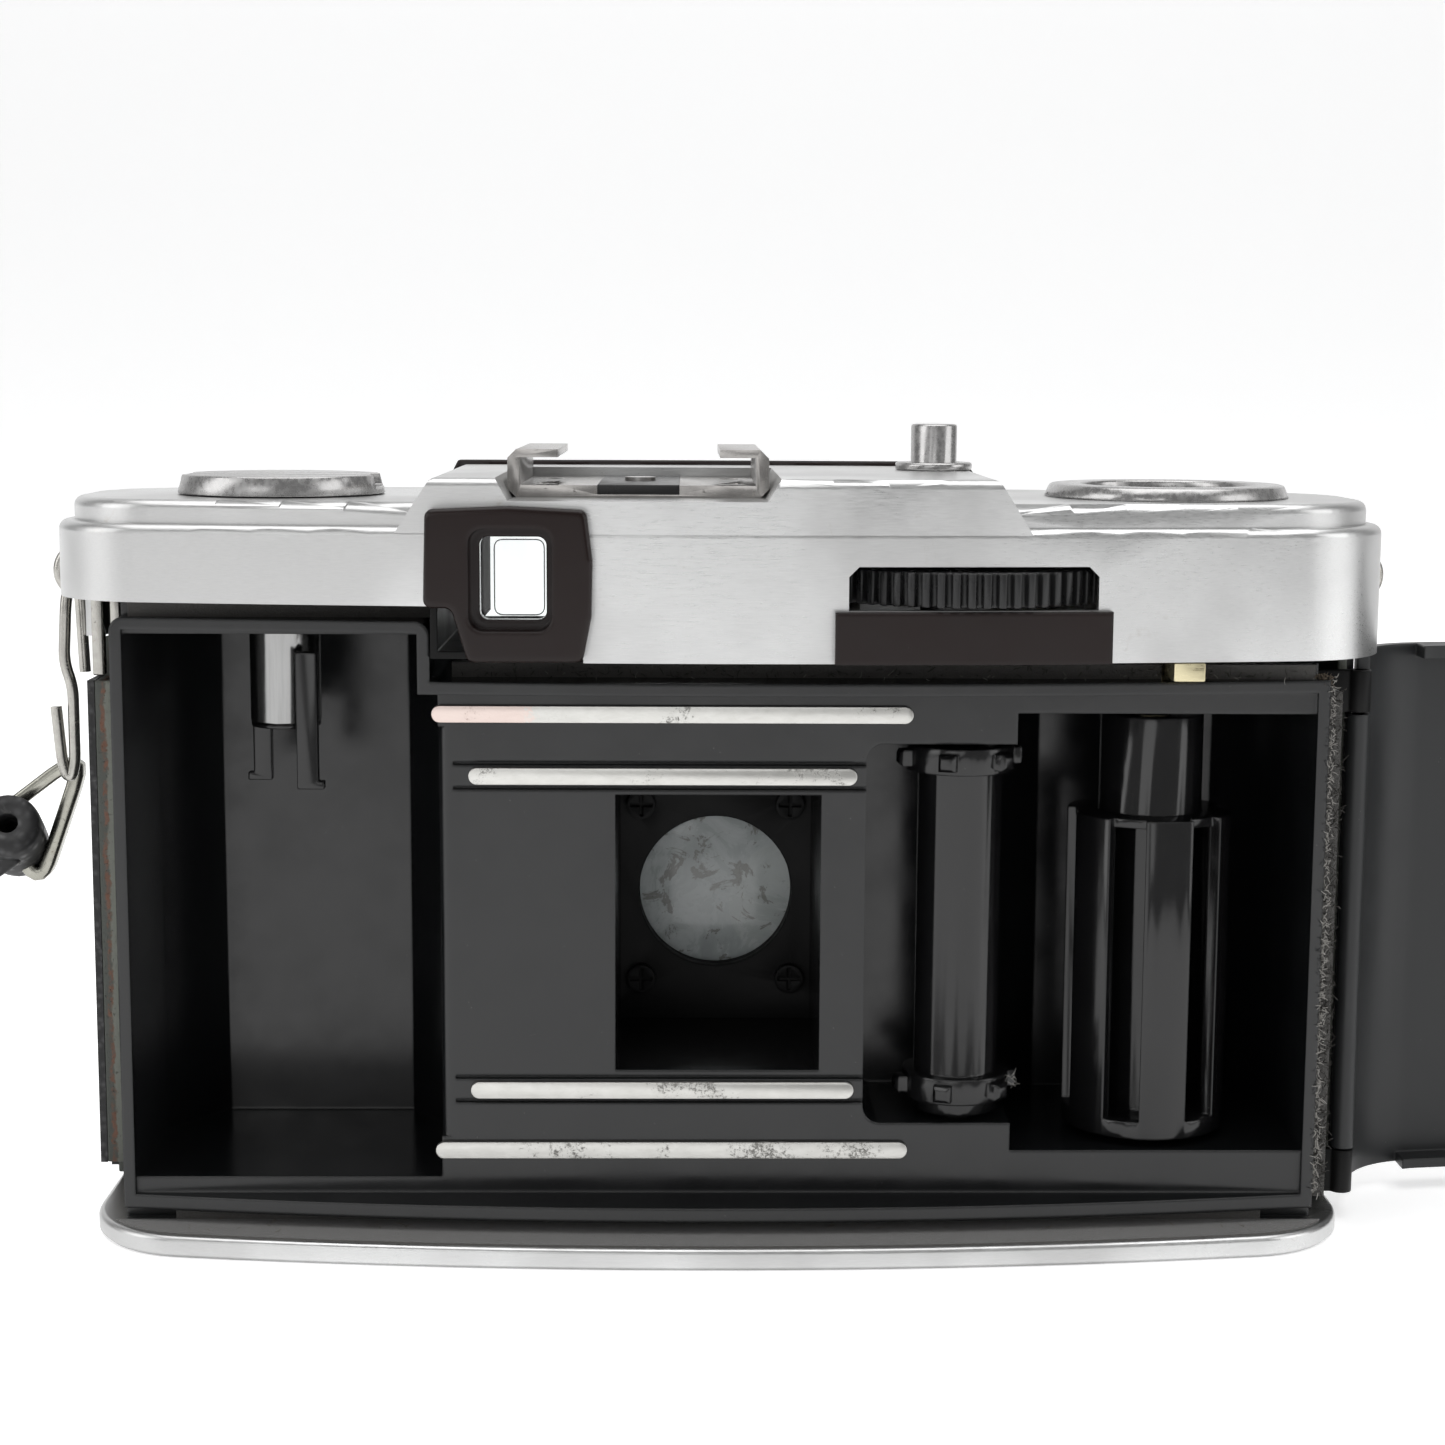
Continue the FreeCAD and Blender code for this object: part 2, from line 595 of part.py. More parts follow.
def mount_screws():
    screws = []
    for dx in (-6.7, 6.7):
        for dz in (-8.0, 8.0):
            x, z = AXIS_X + dx, AXIS_Z + dz
            body = fuse(disc(PLATE_Y[0] - 0.7, PLATE_Y[0], 1.3, x, z), disc(PLATE_Y[0], 11.2, 0.8, x, z))
            body = body.cut(box(x - 1.0, x + 1.0, 0, PLATE_Y[0] - 0.35, z - 0.15, z + 0.15))
            screws.append(body.cut(box(x - 0.15, x + 0.15, 0, PLATE_Y[0] - 0.35, z - 1.0, z + 1.0)))
    return screws


def shutter_housing():
    housing = disc(PLATE_Y[1], 16.3, HOUSING_R)
    housing = housing.cut(disc(PLATE_Y[1] - 1, 12.6, 6.9))
    housing = housing.cut(disc(12.6, 14.6, 16.8))
    housing = housing.cut(disc(14.6, 20, 5.4))
    for dx in (-6.7, 6.7):
        for dz in (-8.0, 8.0):
            housing = housing.cut(disc(0, 11.4, 0.8, AXIS_X + dx, AXIS_Z + dz))
    for x, z in BLADE_PIVOTS:
        housing = fuse(housing, disc(12.5, 14.7, 0.6, x, z))
    return housing


def shutter_blade(index):
    """Thin leaf that closes half of the lens opening, on its own pivot."""
    x, z = BLADE_PIVOTS[index]
    y0, y1 = BLADE_Y[index]
    side = -1 if index == 0 else 1
    outline = [(x, z + 1.6), (x + side * 1.4, z), (AXIS_X + side * 5.6, AXIS_Z - 5.0),
               (AXIS_X - side * 0.5, AXIS_Z - 5.8), (AXIS_X - side * 0.8, AXIS_Z + 6.0)]
    leaf = fuse(slab(outline, y0, y1), disc(y0, y1, 1.6, x, z))
    return leaf.cut(disc(y0 - 1, y1 + 1, 0.65, x, z))


def lens_element(y0, y1, r, bulge):
    """Biconvex glass disc, cut from two spheres."""
    sphere_r = (r * r + bulge * bulge) / (2 * bulge)
    glass = disc(y0 - bulge, y1 + bulge, r)
    for centre_y in (y1 + bulge - sphere_r, y0 - bulge + sphere_r):
        glass = glass.common(Part.makeSphere(sphere_r, V(AXIS_X, centre_y, AXIS_Z)))
    return glass


def lens_barrel():
    flange = disc(16.9, 18.4, FLANGE_R)
    sleeve = disc(16.3, 29.0, 19.0)
    shoulder = disc(23.1, 27.7, 22.4)
    return fuse(flange, sleeve, shoulder).cut(disc(10, 40, 12.0))


def knurled_ring(y0, y1, r_out, r_in, ribs):
    """Ring about the optical axis with shallow grip ribs."""
    blank = toothed((0, 0), y0, y1, r_out - 0.35, r_out, ribs, 0, 0.55, 0.4)
    blank = blank.cut(post((0, 0), y0 - 1, y1 + 1, r_in))
    blank.rotate(V(0, 0, 0), V(1, 0, 0), -90)
    blank.translate(V(AXIS_X, 0, AXIS_Z))
    return blank


def lens_front_ring():
    ring_body = annulus(27.9, 33.0, 23.0, 19.0)
    return ring_body.cut(disc(30.4, 40, FILTER_R))


def lens_cell():
    """Inner cell from the shutter to the cone round the front glass."""
    core = disc(16.3, 26.0, 12.0)
    nose = Part.makeCone(12.0, 9.4, 4.0, V(AXIS_X, 26.0, AXIS_Z), V(0, 1, 0))
    return fuse(core, nose).cut(disc(10, 40, 7.6))


save("lens_mount_plate", lens_mount_plate())
save("small_screws", group(*mount_screws(), *shoe_screws()))
save("shutter_housing", shutter_housing())
save("shutter_blade_left", shutter_blade(0))
save("shutter_blade_right", shutter_blade(1))
save("rear_element", lens_element(10.4, 11.6, 6.85, 0.7))
save("lens_barrel", lens_barrel())
save("aperture_ring", knurled_ring(18.5, 22.9, 23.6, 19.0 + RUN, 90))
save("lens_front_ring", lens_front_ring())
save("meter_cell", annulus(29.0, 30.2, 18.95, 12.4))
save("lens_cell", lens_cell())
save("front_element", lens_element(27.2, 28.8, 7.55, 0.8))

# ---- film transport -----------------------------------------------------------------------
GEAR_Z = (50.6, 52.2)
DRIVE_R = GEAR_MODULE * DRIVE_TEETH / 2
IDLER_R = GEAR_MODULE * IDLER_TEETH / 2


def idler_place():
    """Centre that meshes with both shaft gears, and the two lines of centres."""
    dx, dy = SPOOL[0] - WHEEL[0], SPOOL[1] - WHEEL[1]
    span = math.hypot(dx, dy)
    side = math.sqrt((DRIVE_R + IDLER_R) ** 2 - (span / 2) ** 2)
    mid = ((WHEEL[0] + SPOOL[0]) / 2, (WHEEL[1] + SPOOL[1]) / 2)
    return mid[0] - dy / span * side, mid[1] + dx / span * side


IDLER = idler_place()
TO_IDLER = math.atan2(IDLER[1] - WHEEL[1], IDLER[0] - WHEEL[0])
FROM_SPOOL = math.atan2(IDLER[1] - SPOOL[1], IDLER[0] - SPOOL[0])
IDLER_PHASE = TO_IDLER + math.pi + math.pi / IDLER_TEETH


def spool_phase():
    """Turn the spool gear so that its gap faces an idler tooth."""
    towards_spool = FROM_SPOOL + math.pi
    step = 2 * math.pi / IDLER_TEETH
    lead = ((towards_spool - IDLER_PHASE) / step) % 1.0
    tooth_step = 2 * math.pi / DRIVE_TEETH
    return FROM_SPOOL + (lead + 0.5) * tooth_step


def advance_wheel():
    wheel = toothed(WHEEL, 54.8, 57.6, WHEEL_R - 0.7, WHEEL_R, WHEEL_TEETH, 0, 0.62, 0.5)
    hub = post(WHEEL, 53.2, 54.8, 3.6)
    return fuse(wheel, hub).cut(post(WHEEL, 50, 60, SHAFT_R))


def sprocket():
    drum = post(WHEEL, 10.8, 42.0, 3.55)
    for z in (SPROCKET_Z, SPROCKET_Z + SPROCKET_PITCH):
        rim = post(WHEEL, z - 1.1, z + 1.1, 9.07 / 2)
        teeth = []
        for i in range(6):
            tooth = box(WHEEL[0] + 4.0, WHEEL[0] + 5.5, WHEEL[1] - 0.75, WHEEL[1] + 0.75, z - 0.7, z + 0.7)
            tooth = tooth.makeChamfer(0.3, [e for e in tooth.Edges if e.BoundBox.XMin > WHEEL[0] + 5.4])
            tooth.rotate(V(WHEEL[0], WHEEL[1], 0), V(0, 0, 1), 60 * i + 12)
            teeth.append(tooth)
        drum = fuse(drum, rim, *teeth)
    return fuse(drum, post(WHEEL, 6.4, 43.9, SHAFT_R))


def takeup_spool():
    """Solid collar above, four slotted fins round a thin core below."""
    collar = post(SPOOL, 36.2, 44.6, 4.4)
    foot = post(SPOOL, 8.7, 10.2, 7.0)
    core = post(SPOOL, 10.2, 36.2, 3.3)
    fins = []
    for i in range(6):
        fin = ring(SPOOL, 10.2, 36.2, 7.0, 5.9)
        start = 60 * i + 18
        wedge = column([(0, 0), (12, 0), (12 * math.cos(math.radians(34)), 12 * math.sin(math.radians(34)))],
                       0, 60)
        wedge.rotate(V(0, 0, 0), V(0, 0, 1), start)
        wedge.translate(V(SPOOL[0], SPOOL[1], 0))
        fins.append(fin.common(wedge))
    top = post(SPOOL, 35.4, 36.2, 6.2)
    spindle = fuse(post(SPOOL, 6.5, 8.7, SHAFT_R), post(SPOOL, 44.6, 45.0, SHAFT_R))
    return fuse(collar, foot, core, top, spindle, *fins)


def mechanism_plate():
    plate = box(9.0, 47.0, -8.5, 10.5, 58.4, 59.2)
    holes = [post(WHEEL, 50, 70, SHAFT_R + RUN), post(SPOOL, 50, 70, SHAFT_R + RUN),
             post(COUNTER, 50, 70, 1.0 + RUN), post(RELEASE, 50, 70, 1.6)]
    plate = plate.cut(Part.makeCompound(holes))
    pillars = [post(at, 48.3, 58.4, 1.5) for at in ((34.0, 8.6), (45.2, -4.6), (11.0, 8.6))]
    idler_stud = fuse(post(IDLER, 48.3, 50.5, 2.0), post(IDLER, 50.5, 53.0, 1.0))
    return group(fuse(plate, *pillars), idler_stud)


save("advance_wheel", advance_wheel())
save("drive_gear", fuse(gear(WHEEL, GEAR_Z[0], GEAR_Z[1], DRIVE_TEETH, TO_IDLER),
                        post(WHEEL, 44.0, 59.6, SHAFT_R)))
save("sprocket", sprocket())
save("idler_gear", gear(IDLER, GEAR_Z[0], GEAR_Z[1], IDLER_TEETH, IDLER_PHASE).cut(
    post(IDLER, 40, 60, 1.0 + RUN)))
save("takeup_spool", takeup_spool())
save("spool_gear", fuse(gear(SPOOL, GEAR_Z[0], GEAR_Z[1], DRIVE_TEETH, spool_phase()),
                        post(SPOOL, 45.0, 59.6, SHAFT_R)))
save("mechanism_plate", mechanism_plate())

# ---- rewind -------------------------------------------------------------------------------
CRANK_HINGE_X = REWIND[0] - 7.4
FORK_TOP = 43.5


def rewind_knob():
    body = Part.makeCone(8.7, 8.35, 1.6, V(REWIND[0], REWIND[1], 63.0))
    groove = box(REWIND[0] - 9.0, REWIND[0] + 9.0, REWIND[1] - 2.3, REWIND[1] + 2.3, 63.6, 66)
    return body.cut(groove).cut(post(REWIND, 60, 63.5, 3.0))


def rewind_crank():
    arm = box(CRANK_HINGE_X - 0.4, REWIND[0] + 7.4, REWIND[1] - 2.1, REWIND[1] + 2.1, 63.75, 64.6)
    return arm.makeFillet(1.2, [e for e in upright_edges(arm) if e.BoundBox.XMin > REWIND[0]])


def rewind_fork():
    """Two prongs on a thin washer: one beside the shaft, one behind it, each with a foot."""
    x, y = REWIND
    near = fuse(box(x + 1.4, x + 3.2, y - 3.9, y - 2.9, 38.6, 49.8),
                box(x + 1.4, x + 3.7, y - 3.9, y - 2.9, 38.1, 38.8),
                box(x + 1.4, x + 2.2, y - 3.0, y - 1.0, FORK_TOP - 0.4, FORK_TOP))
    far = fuse(box(x - 3.1, x - 1.5, y + 1.2, y + 2.2, 38.6, FORK_TOP),
               box(x - 3.6, x - 1.5, y + 1.2, y + 2.2, 38.1, 38.8))
    return fuse(near, far, post(REWIND, FORK_TOP - 0.4, FORK_TOP, 2.95))


save("rewind_knob", rewind_knob())
save("rewind_crank", rewind_crank())
save("rewind_shaft", post(REWIND, FORK_TOP, 63.5, 3.0))
save("rewind_sleeve", ring(REWIND, 53.4, 55.4, 5.8, 3.0 + RUN))
save("rewind_fork", rewind_fork())

# ---- counter, release and small controls --------------------------------------------------


def button_spring():
    coils = []
    for i in range(4):
        coil = Part.makeTorus(1.9, 0.2, V(RELEASE[0], RELEASE[1], 59.45 + i * 0.62))
        coils.append(coil)
    return group(*coils)


save("cover_rings", group(Part.makeCone(10.4, 9.9, 1.1, V(COUNTER[0], COUNTER[1], PLATFORM_Z)).cut(
    post(COUNTER, 60, 70, 7.2)), ring(RELEASE, ROOF_Z, 65.6, 3.35, 2.05)))
save("counter_window", post(COUNTER, 62.3, 63.4, 7.15))
save("counter_dial", fuse(post(COUNTER, 61.2, 61.6, 6.6), post(COUNTER, 57.6, 61.2, 1.0)))
save("counter_reset_pin", box(36.6, 39.2, -12.75, -8.0, 48.5, 50.1))
save("shutter_button", fuse(post(RELEASE, 63.0, 68.9, 2.0), post(RELEASE, 62.2, 63.0, 2.7),
                            post(RELEASE, 60.6, 62.2, 1.3)))
save("button_spring", button_spring())
save("rewind_release_button", fuse(post(WHEEL, 0.3, 3.0, BUTTON_R), post(WHEEL, 3.0, 4.4, SHAFT_R - 0.2)))

# ---- back door ----------------------------------------------------------------------------
KNUCKLE_R = 1.0
PIN_R = 0.5
DOOR_KNUCKLE_Z = (6.4, 44.6)
BODY_KNUCKLES_Z = ((2.4, 6.2), (44.8, 48.4))


def door_band(inset0, inset1, z0, z1):
    """Slice of the closed door's bowed section between two depths."""
    outer = plan(DOOR_OUT[0] - inset0, DOOR_OUT[1] - inset0, z0, z1, CORNER_R - inset0)
    inner = plan(DOOR_OUT[0] - inset1, DOOR_OUT[1] - inset1, z0 - 1, z1 + 1, CORNER_R - inset1)
    return outer.cut(inner)


def back_door():
    rear = fuse(box(-60, 0, -30, -0.6, 0, 60), box(-0.1, 60, -30, -3.7, 0, 60))
    skin = fuse(door_band(0, DOOR_T, DOOR_LOW, DOOR_HIGH_RIGHT),
                door_band(0, DOOR_T, DOOR_HIGH_RIGHT - 1, DOOR_HIGH_LEFT).common(
                    box(-60, DOOR_STEP_X - 0.4, -30, 30, 0, 60))).common(rear)
    lips = [
        door_band(DOOR_T - 0.1, LIP_DEPTH, 48.6, DOOR_HIGH_RIGHT).common(box(DOOR_STEP_X, 47.0, -30, -8, 0, 60)),
        door_band(DOOR_T - 0.1, LIP_DEPTH, 53.4, DOOR_HIGH_LEFT).common(
            box(-47.0, DOOR_STEP_X - 0.4, -30, -8, 0, 60)),
        door_band(DOOR_T - 0.1, LIP_DEPTH, DOOR_LOW, 2.95).common(box(-47.0, 47.0, -30, -8, 0, 60)),
    ]
    notch = box(35.8, 40.0, -15.3, -5, 48, 50)
    leaf = box(53.6, 54.4, -4.4, -2.9, *DOOR_KNUCKLE_Z)
    knuckle = post(HINGE, DOOR_KNUCKLE_Z[0], DOOR_KNUCKLE_Z[1], KNUCKLE_R)
    arm = box(-53.35, -52.6, -4.0, -0.3, 44.8, 48.0)
    nib = box(-52.65, -51.7, -0.9, -0.3, 44.8, 48.0)
    door = fuse(skin, leaf, knuckle, lips[0].cut(notch), lips[1], lips[2], arm, nib)
    return opened(door.cut(post(HINGE, 0, 60, PIN_R + RUN)))


def door_leatherette():
    outer = plan(DOOR_OUT[0] + 0.5, DOOR_OUT[1] + 0.5, 4.2, 47.6)
    skin = outer.cut(plan(DOOR_OUT[0], DOOR_OUT[1], 0, 60)).common(box(-50.0, 50.0, -30, -8, 0, 60))
    return opened(skin)


PRESS_X = (-22.0, 13.4)
PRESS_Z = (9.6, 43.8)


def pressure_plate():
    plate = box(PRESS_X[0], PRESS_X[1], FILM_Y - 1.12, FILM_Y - 0.12, *PRESS_Z)
    return opened(plate.makeFillet(0.4, edges_along_y(plate)))


def pressure_spring():
    """Bowed leaf spring between the door and the pressure plate."""
    back_y, front_y = -14.9, FILM_Y - 1.12 - 0.5
    z0, z1 = 22.0, 31.5
    strip = prism([(-20.0, front_y - 0.3, z0), (-18.0, front_y, z0), (-6.0, back_y + 0.3, z0),
                   (-2.6, back_y + 0.3, z0), (9.4, front_y, z0), (11.4, front_y - 0.3, z0),
                   (9.2, front_y - 0.35, z0), (-2.6, back_y, z0), (-6.0, back_y, z0),
                   (-17.8, front_y - 0.35, z0)], (0, 0, z1 - z0))
    rivet = disc(-15.15, -14.6, 1.0, -4.3, (z0 + z1) / 2)
    return opened(fuse(strip, rivet))


def cartridge_spring():
    strip = prism([(-43.5, -11.7, 21.0), (-37.0, -10.9, 21.0), (-30.5, -13.2, 21.0),
                   (-30.5, -13.55, 21.0), (-37.0, -11.25, 21.0), (-43.5, -12.05, 21.0)], (0, 0, 12.0))
    rivet = disc(-13.53, -13.1, 0.9, -31.6, 27.0)
    return opened(fuse(strip, rivet))


def body_hinge():
    parts = []
    for z0, z1 in BODY_KNUCKLES_Z:
        knuckle = post(HINGE, z0, z1, KNUCKLE_R)
        leaf = box(CASTING_HALF_W, 54.0, -2.9, -2.1, z0, z1)
        parts.append(fuse(knuckle, leaf).cut(post(HINGE, 0, 60, PIN_R)))
    pin = post(HINGE, BODY_KNUCKLES_Z[0][0], BODY_KNUCKLES_Z[1][1], PIN_R)
    return group(pin, *parts)


save("back_door", back_door())
save("door_leatherette", door_leatherette())
save("pressure_plate", pressure_plate())
save("door_springs", group(pressure_spring(), cartridge_spring()))
save("body_hinge", body_hinge())


def latch_slide():
    """Spring-steel fork that holds the door hook: two bars on a bridge."""
    bars = [box(-54.0, -53.0, 0.4, 1.6, 47.2, 56.2), box(-52.4, -51.5, 0.4, 1.6, 47.2, 56.2)]
    bridge = box(-54.0, -51.5, 0.4, 1.6, 55.4, 57.2)
    return fuse(bridge, *bars)


save("door_latch", latch_slide())

# ---- strap lugs, link, ring and wrist strap -----------------------------------------------
LUG_R = 2.0
LUG_WIRE = 0.55
LINK_WIRE = 0.5
RING_A = (-55.9, LUG_Y, 37.9)
RING_B = (-59.9, LUG_Y, 28.2)
RING_C = (-63.9, LUG_Y, 34.0)
STRAP_WIDTH = 6.5


def strap_lug(side):
    eye = Part.makeTorus(LUG_R, LUG_WIRE, V(side * COVER_HALF_W, LUG_Y, LUG_Z), V(0, 1, 0))
    half = box(0, 10, -10, 20, 40, 70)
    half.translate(V(COVER_HALF_W if side > 0 else -COVER_HALF_W - 10, 0, 0))
    return eye.common(half)


def wire_link():
    """Bent wire through the lug: a short front strand and a long hooked back strand."""
    back_y, front_y = LUG_Y - 1.5, LUG_Y + 1.5
    route = [(-55.7, front_y, 47.0), (-55.95, front_y, 53.4), (-56.1, LUG_Y + 0.9, 55.6),
             (-56.2, LUG_Y - 0.9, 55.6), (-56.5, back_y, 53.4), (-56.8, back_y, 48.2),
             (-56.1, back_y, 46.0), (-56.1, back_y, 39.4), (-56.6, back_y, 37.6),
             (-57.2, back_y, 39.4), (-57.6, back_y, 44.3)]
    return tube(route, LINK_WIRE)


def strap_ring():
    """Triangle of flat strip."""
    half = 0.55

    def loop(grow):
        corners = []
        centre = [sum(p[i] for p in (RING_A, RING_B, RING_C)) / 3 for i in range(3)]
        for p in (RING_A, RING_B, RING_C):
            away = V(p[0] - centre[0], 0, p[2] - centre[2])
            away = away * (1 + grow / away.Length)
            corners.append((centre[0] + away.x, centre[2] + away.z))
        return corners
    outer = slab(loop(1.1), LUG_Y - half, LUG_Y + half)
    outer = outer.makeFillet(0.9, edges_along_y(outer))
    inner = slab(loop(-1.1), LUG_Y - 2, LUG_Y + 2)
    inner = inner.makeFillet(0.4, edges_along_y(inner))
    return outer.cut(inner)


BAR_MID = V((RING_B[0] + RING_C[0]) / 2, LUG_Y, (RING_B[2] + RING_C[2]) / 2)
BAR_DIR = V(RING_C[0] - RING_B[0], 0, RING_C[2] - RING_B[2]).normalize()
TAB_DIR = V(-BAR_DIR.z, 0, BAR_DIR.x)
TAB_END = 11.0


def strap_fold():
    """Leather folded round the ring's bar and stitched to itself."""
    half_w = 3.0
    roll = Part.makeCylinder(2.4, 2 * half_w, BAR_MID - BAR_DIR * half_w, BAR_DIR)
    tab_t = 2.2
    corner = BAR_MID - BAR_DIR * half_w - V(0, tab_t, 0)
    tab = Part.Face(Part.makePolygon([
        corner, corner + BAR_DIR * 2 * half_w, corner + BAR_DIR * 2 * half_w + TAB_DIR * TAB_END,
        corner + TAB_DIR * TAB_END, corner])).extrude(V(0, 2 * tab_t, 0))
    tunnel = Part.makeCylinder(1.3, 4 * half_w, BAR_MID - BAR_DIR * 2 * half_w, BAR_DIR)
    return fuse(roll, tab).cut(tunnel)


def strap_route():
    first = BAR_MID + TAB_DIR * TAB_END
    return [(first.x, LUG_Y - 2.6, first.z), (-84.8, 0.2, 15.4), (-100, -5, 5.4), (-119, -13, 2.5),
            (-140, -21, 2.5), (-161, -23, 2.5), (-178, -14, 2.5), (-184, 4, 2.5), (-177, 22, 2.5),
            (-160, 31, 2.5), (-139, 29, 2.5), (-119, 21, 2.5), (-100, 12, 5.4), (-84.8, 6.8, 15.4),
            (first.x, LUG_Y + 2.6, first.z)]


print("strap turn radii", turn_radii(strap_route()))
save("strap_lugs", group(strap_lug(-1), strap_lug(1)))
save("wire_link", wire_link())
save("strap_ring", strap_ring())
save("strap_fold", strap_fold())
save("wrist_strap", tube(strap_route(), STRAP_R))
print("nodes", len(NODES))
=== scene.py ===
import json
import math
import random

import bmesh
import bpy
from mathutils import Matrix, Vector


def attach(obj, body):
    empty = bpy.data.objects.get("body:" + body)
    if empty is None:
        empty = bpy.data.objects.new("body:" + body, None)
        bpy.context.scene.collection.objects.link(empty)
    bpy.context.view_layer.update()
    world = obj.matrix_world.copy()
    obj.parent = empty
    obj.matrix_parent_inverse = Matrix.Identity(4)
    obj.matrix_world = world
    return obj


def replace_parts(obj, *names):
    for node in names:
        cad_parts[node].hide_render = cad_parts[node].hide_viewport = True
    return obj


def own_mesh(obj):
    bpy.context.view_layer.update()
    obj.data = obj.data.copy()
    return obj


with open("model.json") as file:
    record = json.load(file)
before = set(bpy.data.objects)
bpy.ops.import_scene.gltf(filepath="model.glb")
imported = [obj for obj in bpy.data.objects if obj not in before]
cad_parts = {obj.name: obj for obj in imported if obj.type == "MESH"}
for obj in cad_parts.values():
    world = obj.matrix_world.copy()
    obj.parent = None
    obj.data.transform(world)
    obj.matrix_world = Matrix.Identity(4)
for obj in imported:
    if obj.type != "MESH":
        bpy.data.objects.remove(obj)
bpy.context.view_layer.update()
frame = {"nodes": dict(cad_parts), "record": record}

MM = 0.001
NODES = frame["nodes"]
BODY_OF = {n: b for b, members in frame["record"]["behaviour"]["bodies"].items() for n in members}


def mm(*values):
    return Vector([v * MM for v in values])


# ---- node helpers -------------------------------------------------------------------------


class Shader:
    """A principled material and short calls for the nodes that feed it."""

    def __init__(self, name, **fixed):
        self.material = bpy.data.materials.new(name)
        self.material.use_nodes = True
        self.tree = self.material.node_tree
        self.bsdf = self.tree.nodes["Principled BSDF"]
        self.coords = self.tree.nodes.new("ShaderNodeTexCoord").outputs["Object"]
        for key, value in fixed.items():
            self.bsdf.inputs[key.replace("_", " ")].default_value = value

    def node(self, kind, **props):
        made = self.tree.nodes.new(kind)
        for key, value in props.items():
            setattr(made, key, value)
        return made

    def link(self, source, target):
        self.tree.links.new(source, target)

    def place(self, per_mm, offset=(0, 0, 0)):
        """Object coordinates scaled so that one texture unit is 1 / per_mm millimetres."""
        mapping = self.node("ShaderNodeMapping")
        scale = per_mm if isinstance(per_mm, tuple) else (per_mm,) * 3
        mapping.inputs["Scale"].default_value = [s / MM for s in scale]
        mapping.inputs["Location"].default_value = offset
        self.link(self.coords, mapping.inputs["Vector"])
        return mapping.outputs["Vector"]

    def noise(self, per_mm, detail=4.0, rough=0.55, warp=0.0, offset=(0, 0, 0)):
        tex = self.node("ShaderNodeTexNoise")
        tex.inputs["Scale"].default_value = 1.0
        tex.inputs["Detail"].default_value = detail
        tex.inputs["Roughness"].default_value = rough
        tex.inputs["Distortion"].default_value = warp
        self.link(self.place(per_mm, offset), tex.inputs["Vector"])
        return tex.outputs["Fac"]

    def cells(self, per_mm, randomness=1.0):
        """Distance to the nearest point of a scattered set."""
        tex = self.node("ShaderNodeTexVoronoi", feature="F1")
        tex.inputs["Scale"].default_value = 1.0
        tex.inputs["Randomness"].default_value = randomness
        self.link(self.place(per_mm), tex.inputs["Vector"])
        return tex.outputs["Distance"]

    def axis(self, name):
        """Object coordinate along one axis, in millimetres."""
        split = self.node("ShaderNodeSeparateXYZ")
        self.link(self.coords, split.inputs[0])
        return self.math("MULTIPLY", split.outputs[name], 1 / MM)

    def remap(self, value, low, high, to_low=0.0, to_high=1.0):
        curve = self.node("ShaderNodeMapRange", interpolation_type="SMOOTHSTEP")
        curve.inputs["From Min"].default_value = low
        curve.inputs["From Max"].default_value = high
        curve.inputs["To Min"].default_value = to_low
        curve.inputs["To Max"].default_value = to_high
        self.link(value, curve.inputs["Value"])
        return curve.outputs["Result"]

    def math(self, operation, a, b):
        made = self.node("ShaderNodeMath", operation=operation)
        for socket, value in zip(made.inputs, (a, b)):
            if isinstance(value, (int, float)):
                socket.default_value = value
            else:
                self.link(value, socket)
        return made.outputs["Value"]

    def mix(self, factor, first, second):
        made = self.node("ShaderNodeMix", data_type="RGBA")
        self.link(factor, made.inputs["Factor"])
        for index, value in ((6, first), (7, second)):
            if isinstance(value, tuple):
                made.inputs[index].default_value = (*value, 1.0)
            else:
                self.link(value, made.inputs[index])
        return made.outputs[2]

    def color(self, value):
        self.link(value, self.bsdf.inputs["Base Color"])

    def rough(self, value):
        self.link(value, self.bsdf.inputs["Roughness"])

    def metal(self, value):
        self.link(value, self.bsdf.inputs["Metallic"])

    def soft_edges(self, radius_mm):
        """Shades sharp edges as if they were rounded to that radius."""
        made = self.node("ShaderNodeBevel", samples=6)
        made.inputs["Radius"].default_value = radius_mm * MM
        before = self.bsdf.inputs["Normal"].links
        if before:
            self.link(before[0].from_socket, made.inputs["Normal"])
        self.link(made.outputs["Normal"], self.bsdf.inputs["Normal"])

    def bump(self, height, strength=0.3, depth_mm=0.05):
        made = self.node("ShaderNodeBump")
        made.inputs["Strength"].default_value = strength
        made.inputs["Distance"].default_value = depth_mm * MM
        self.link(height, made.inputs["Height"])
        before = self.bsdf.inputs["Normal"].links
        if before:
            self.link(before[0].from_socket, made.inputs["Normal"])
        self.link(made.outputs["Normal"], self.bsdf.inputs["Normal"])


# ---- materials ----------------------------------------------------------------------------
TOP_RAIL_Z_MM = 43.0        # only the top rail lies above this
PINK_REFLECTION_END_X_MM = -15.8     # where the painted pinkish reflection on the top rail's far end stops
LENS_X_MM = -0.3
WELL_MOUTH_Y_MM = -8.7      # film-gate end of the light well
WELL_HALF_W_MM = 8.9
RUST_SEAM_X_MM = -53.1      # middle of the rust line on the front shell's rim
REFLECTION_ARC_X_MM = 6.6         # centre and radius of the painted pale reflection arc on the inner lens
REFLECTION_ARC_Z_MM = 25.4
REFLECTION_ARC_R_MM = 5.679


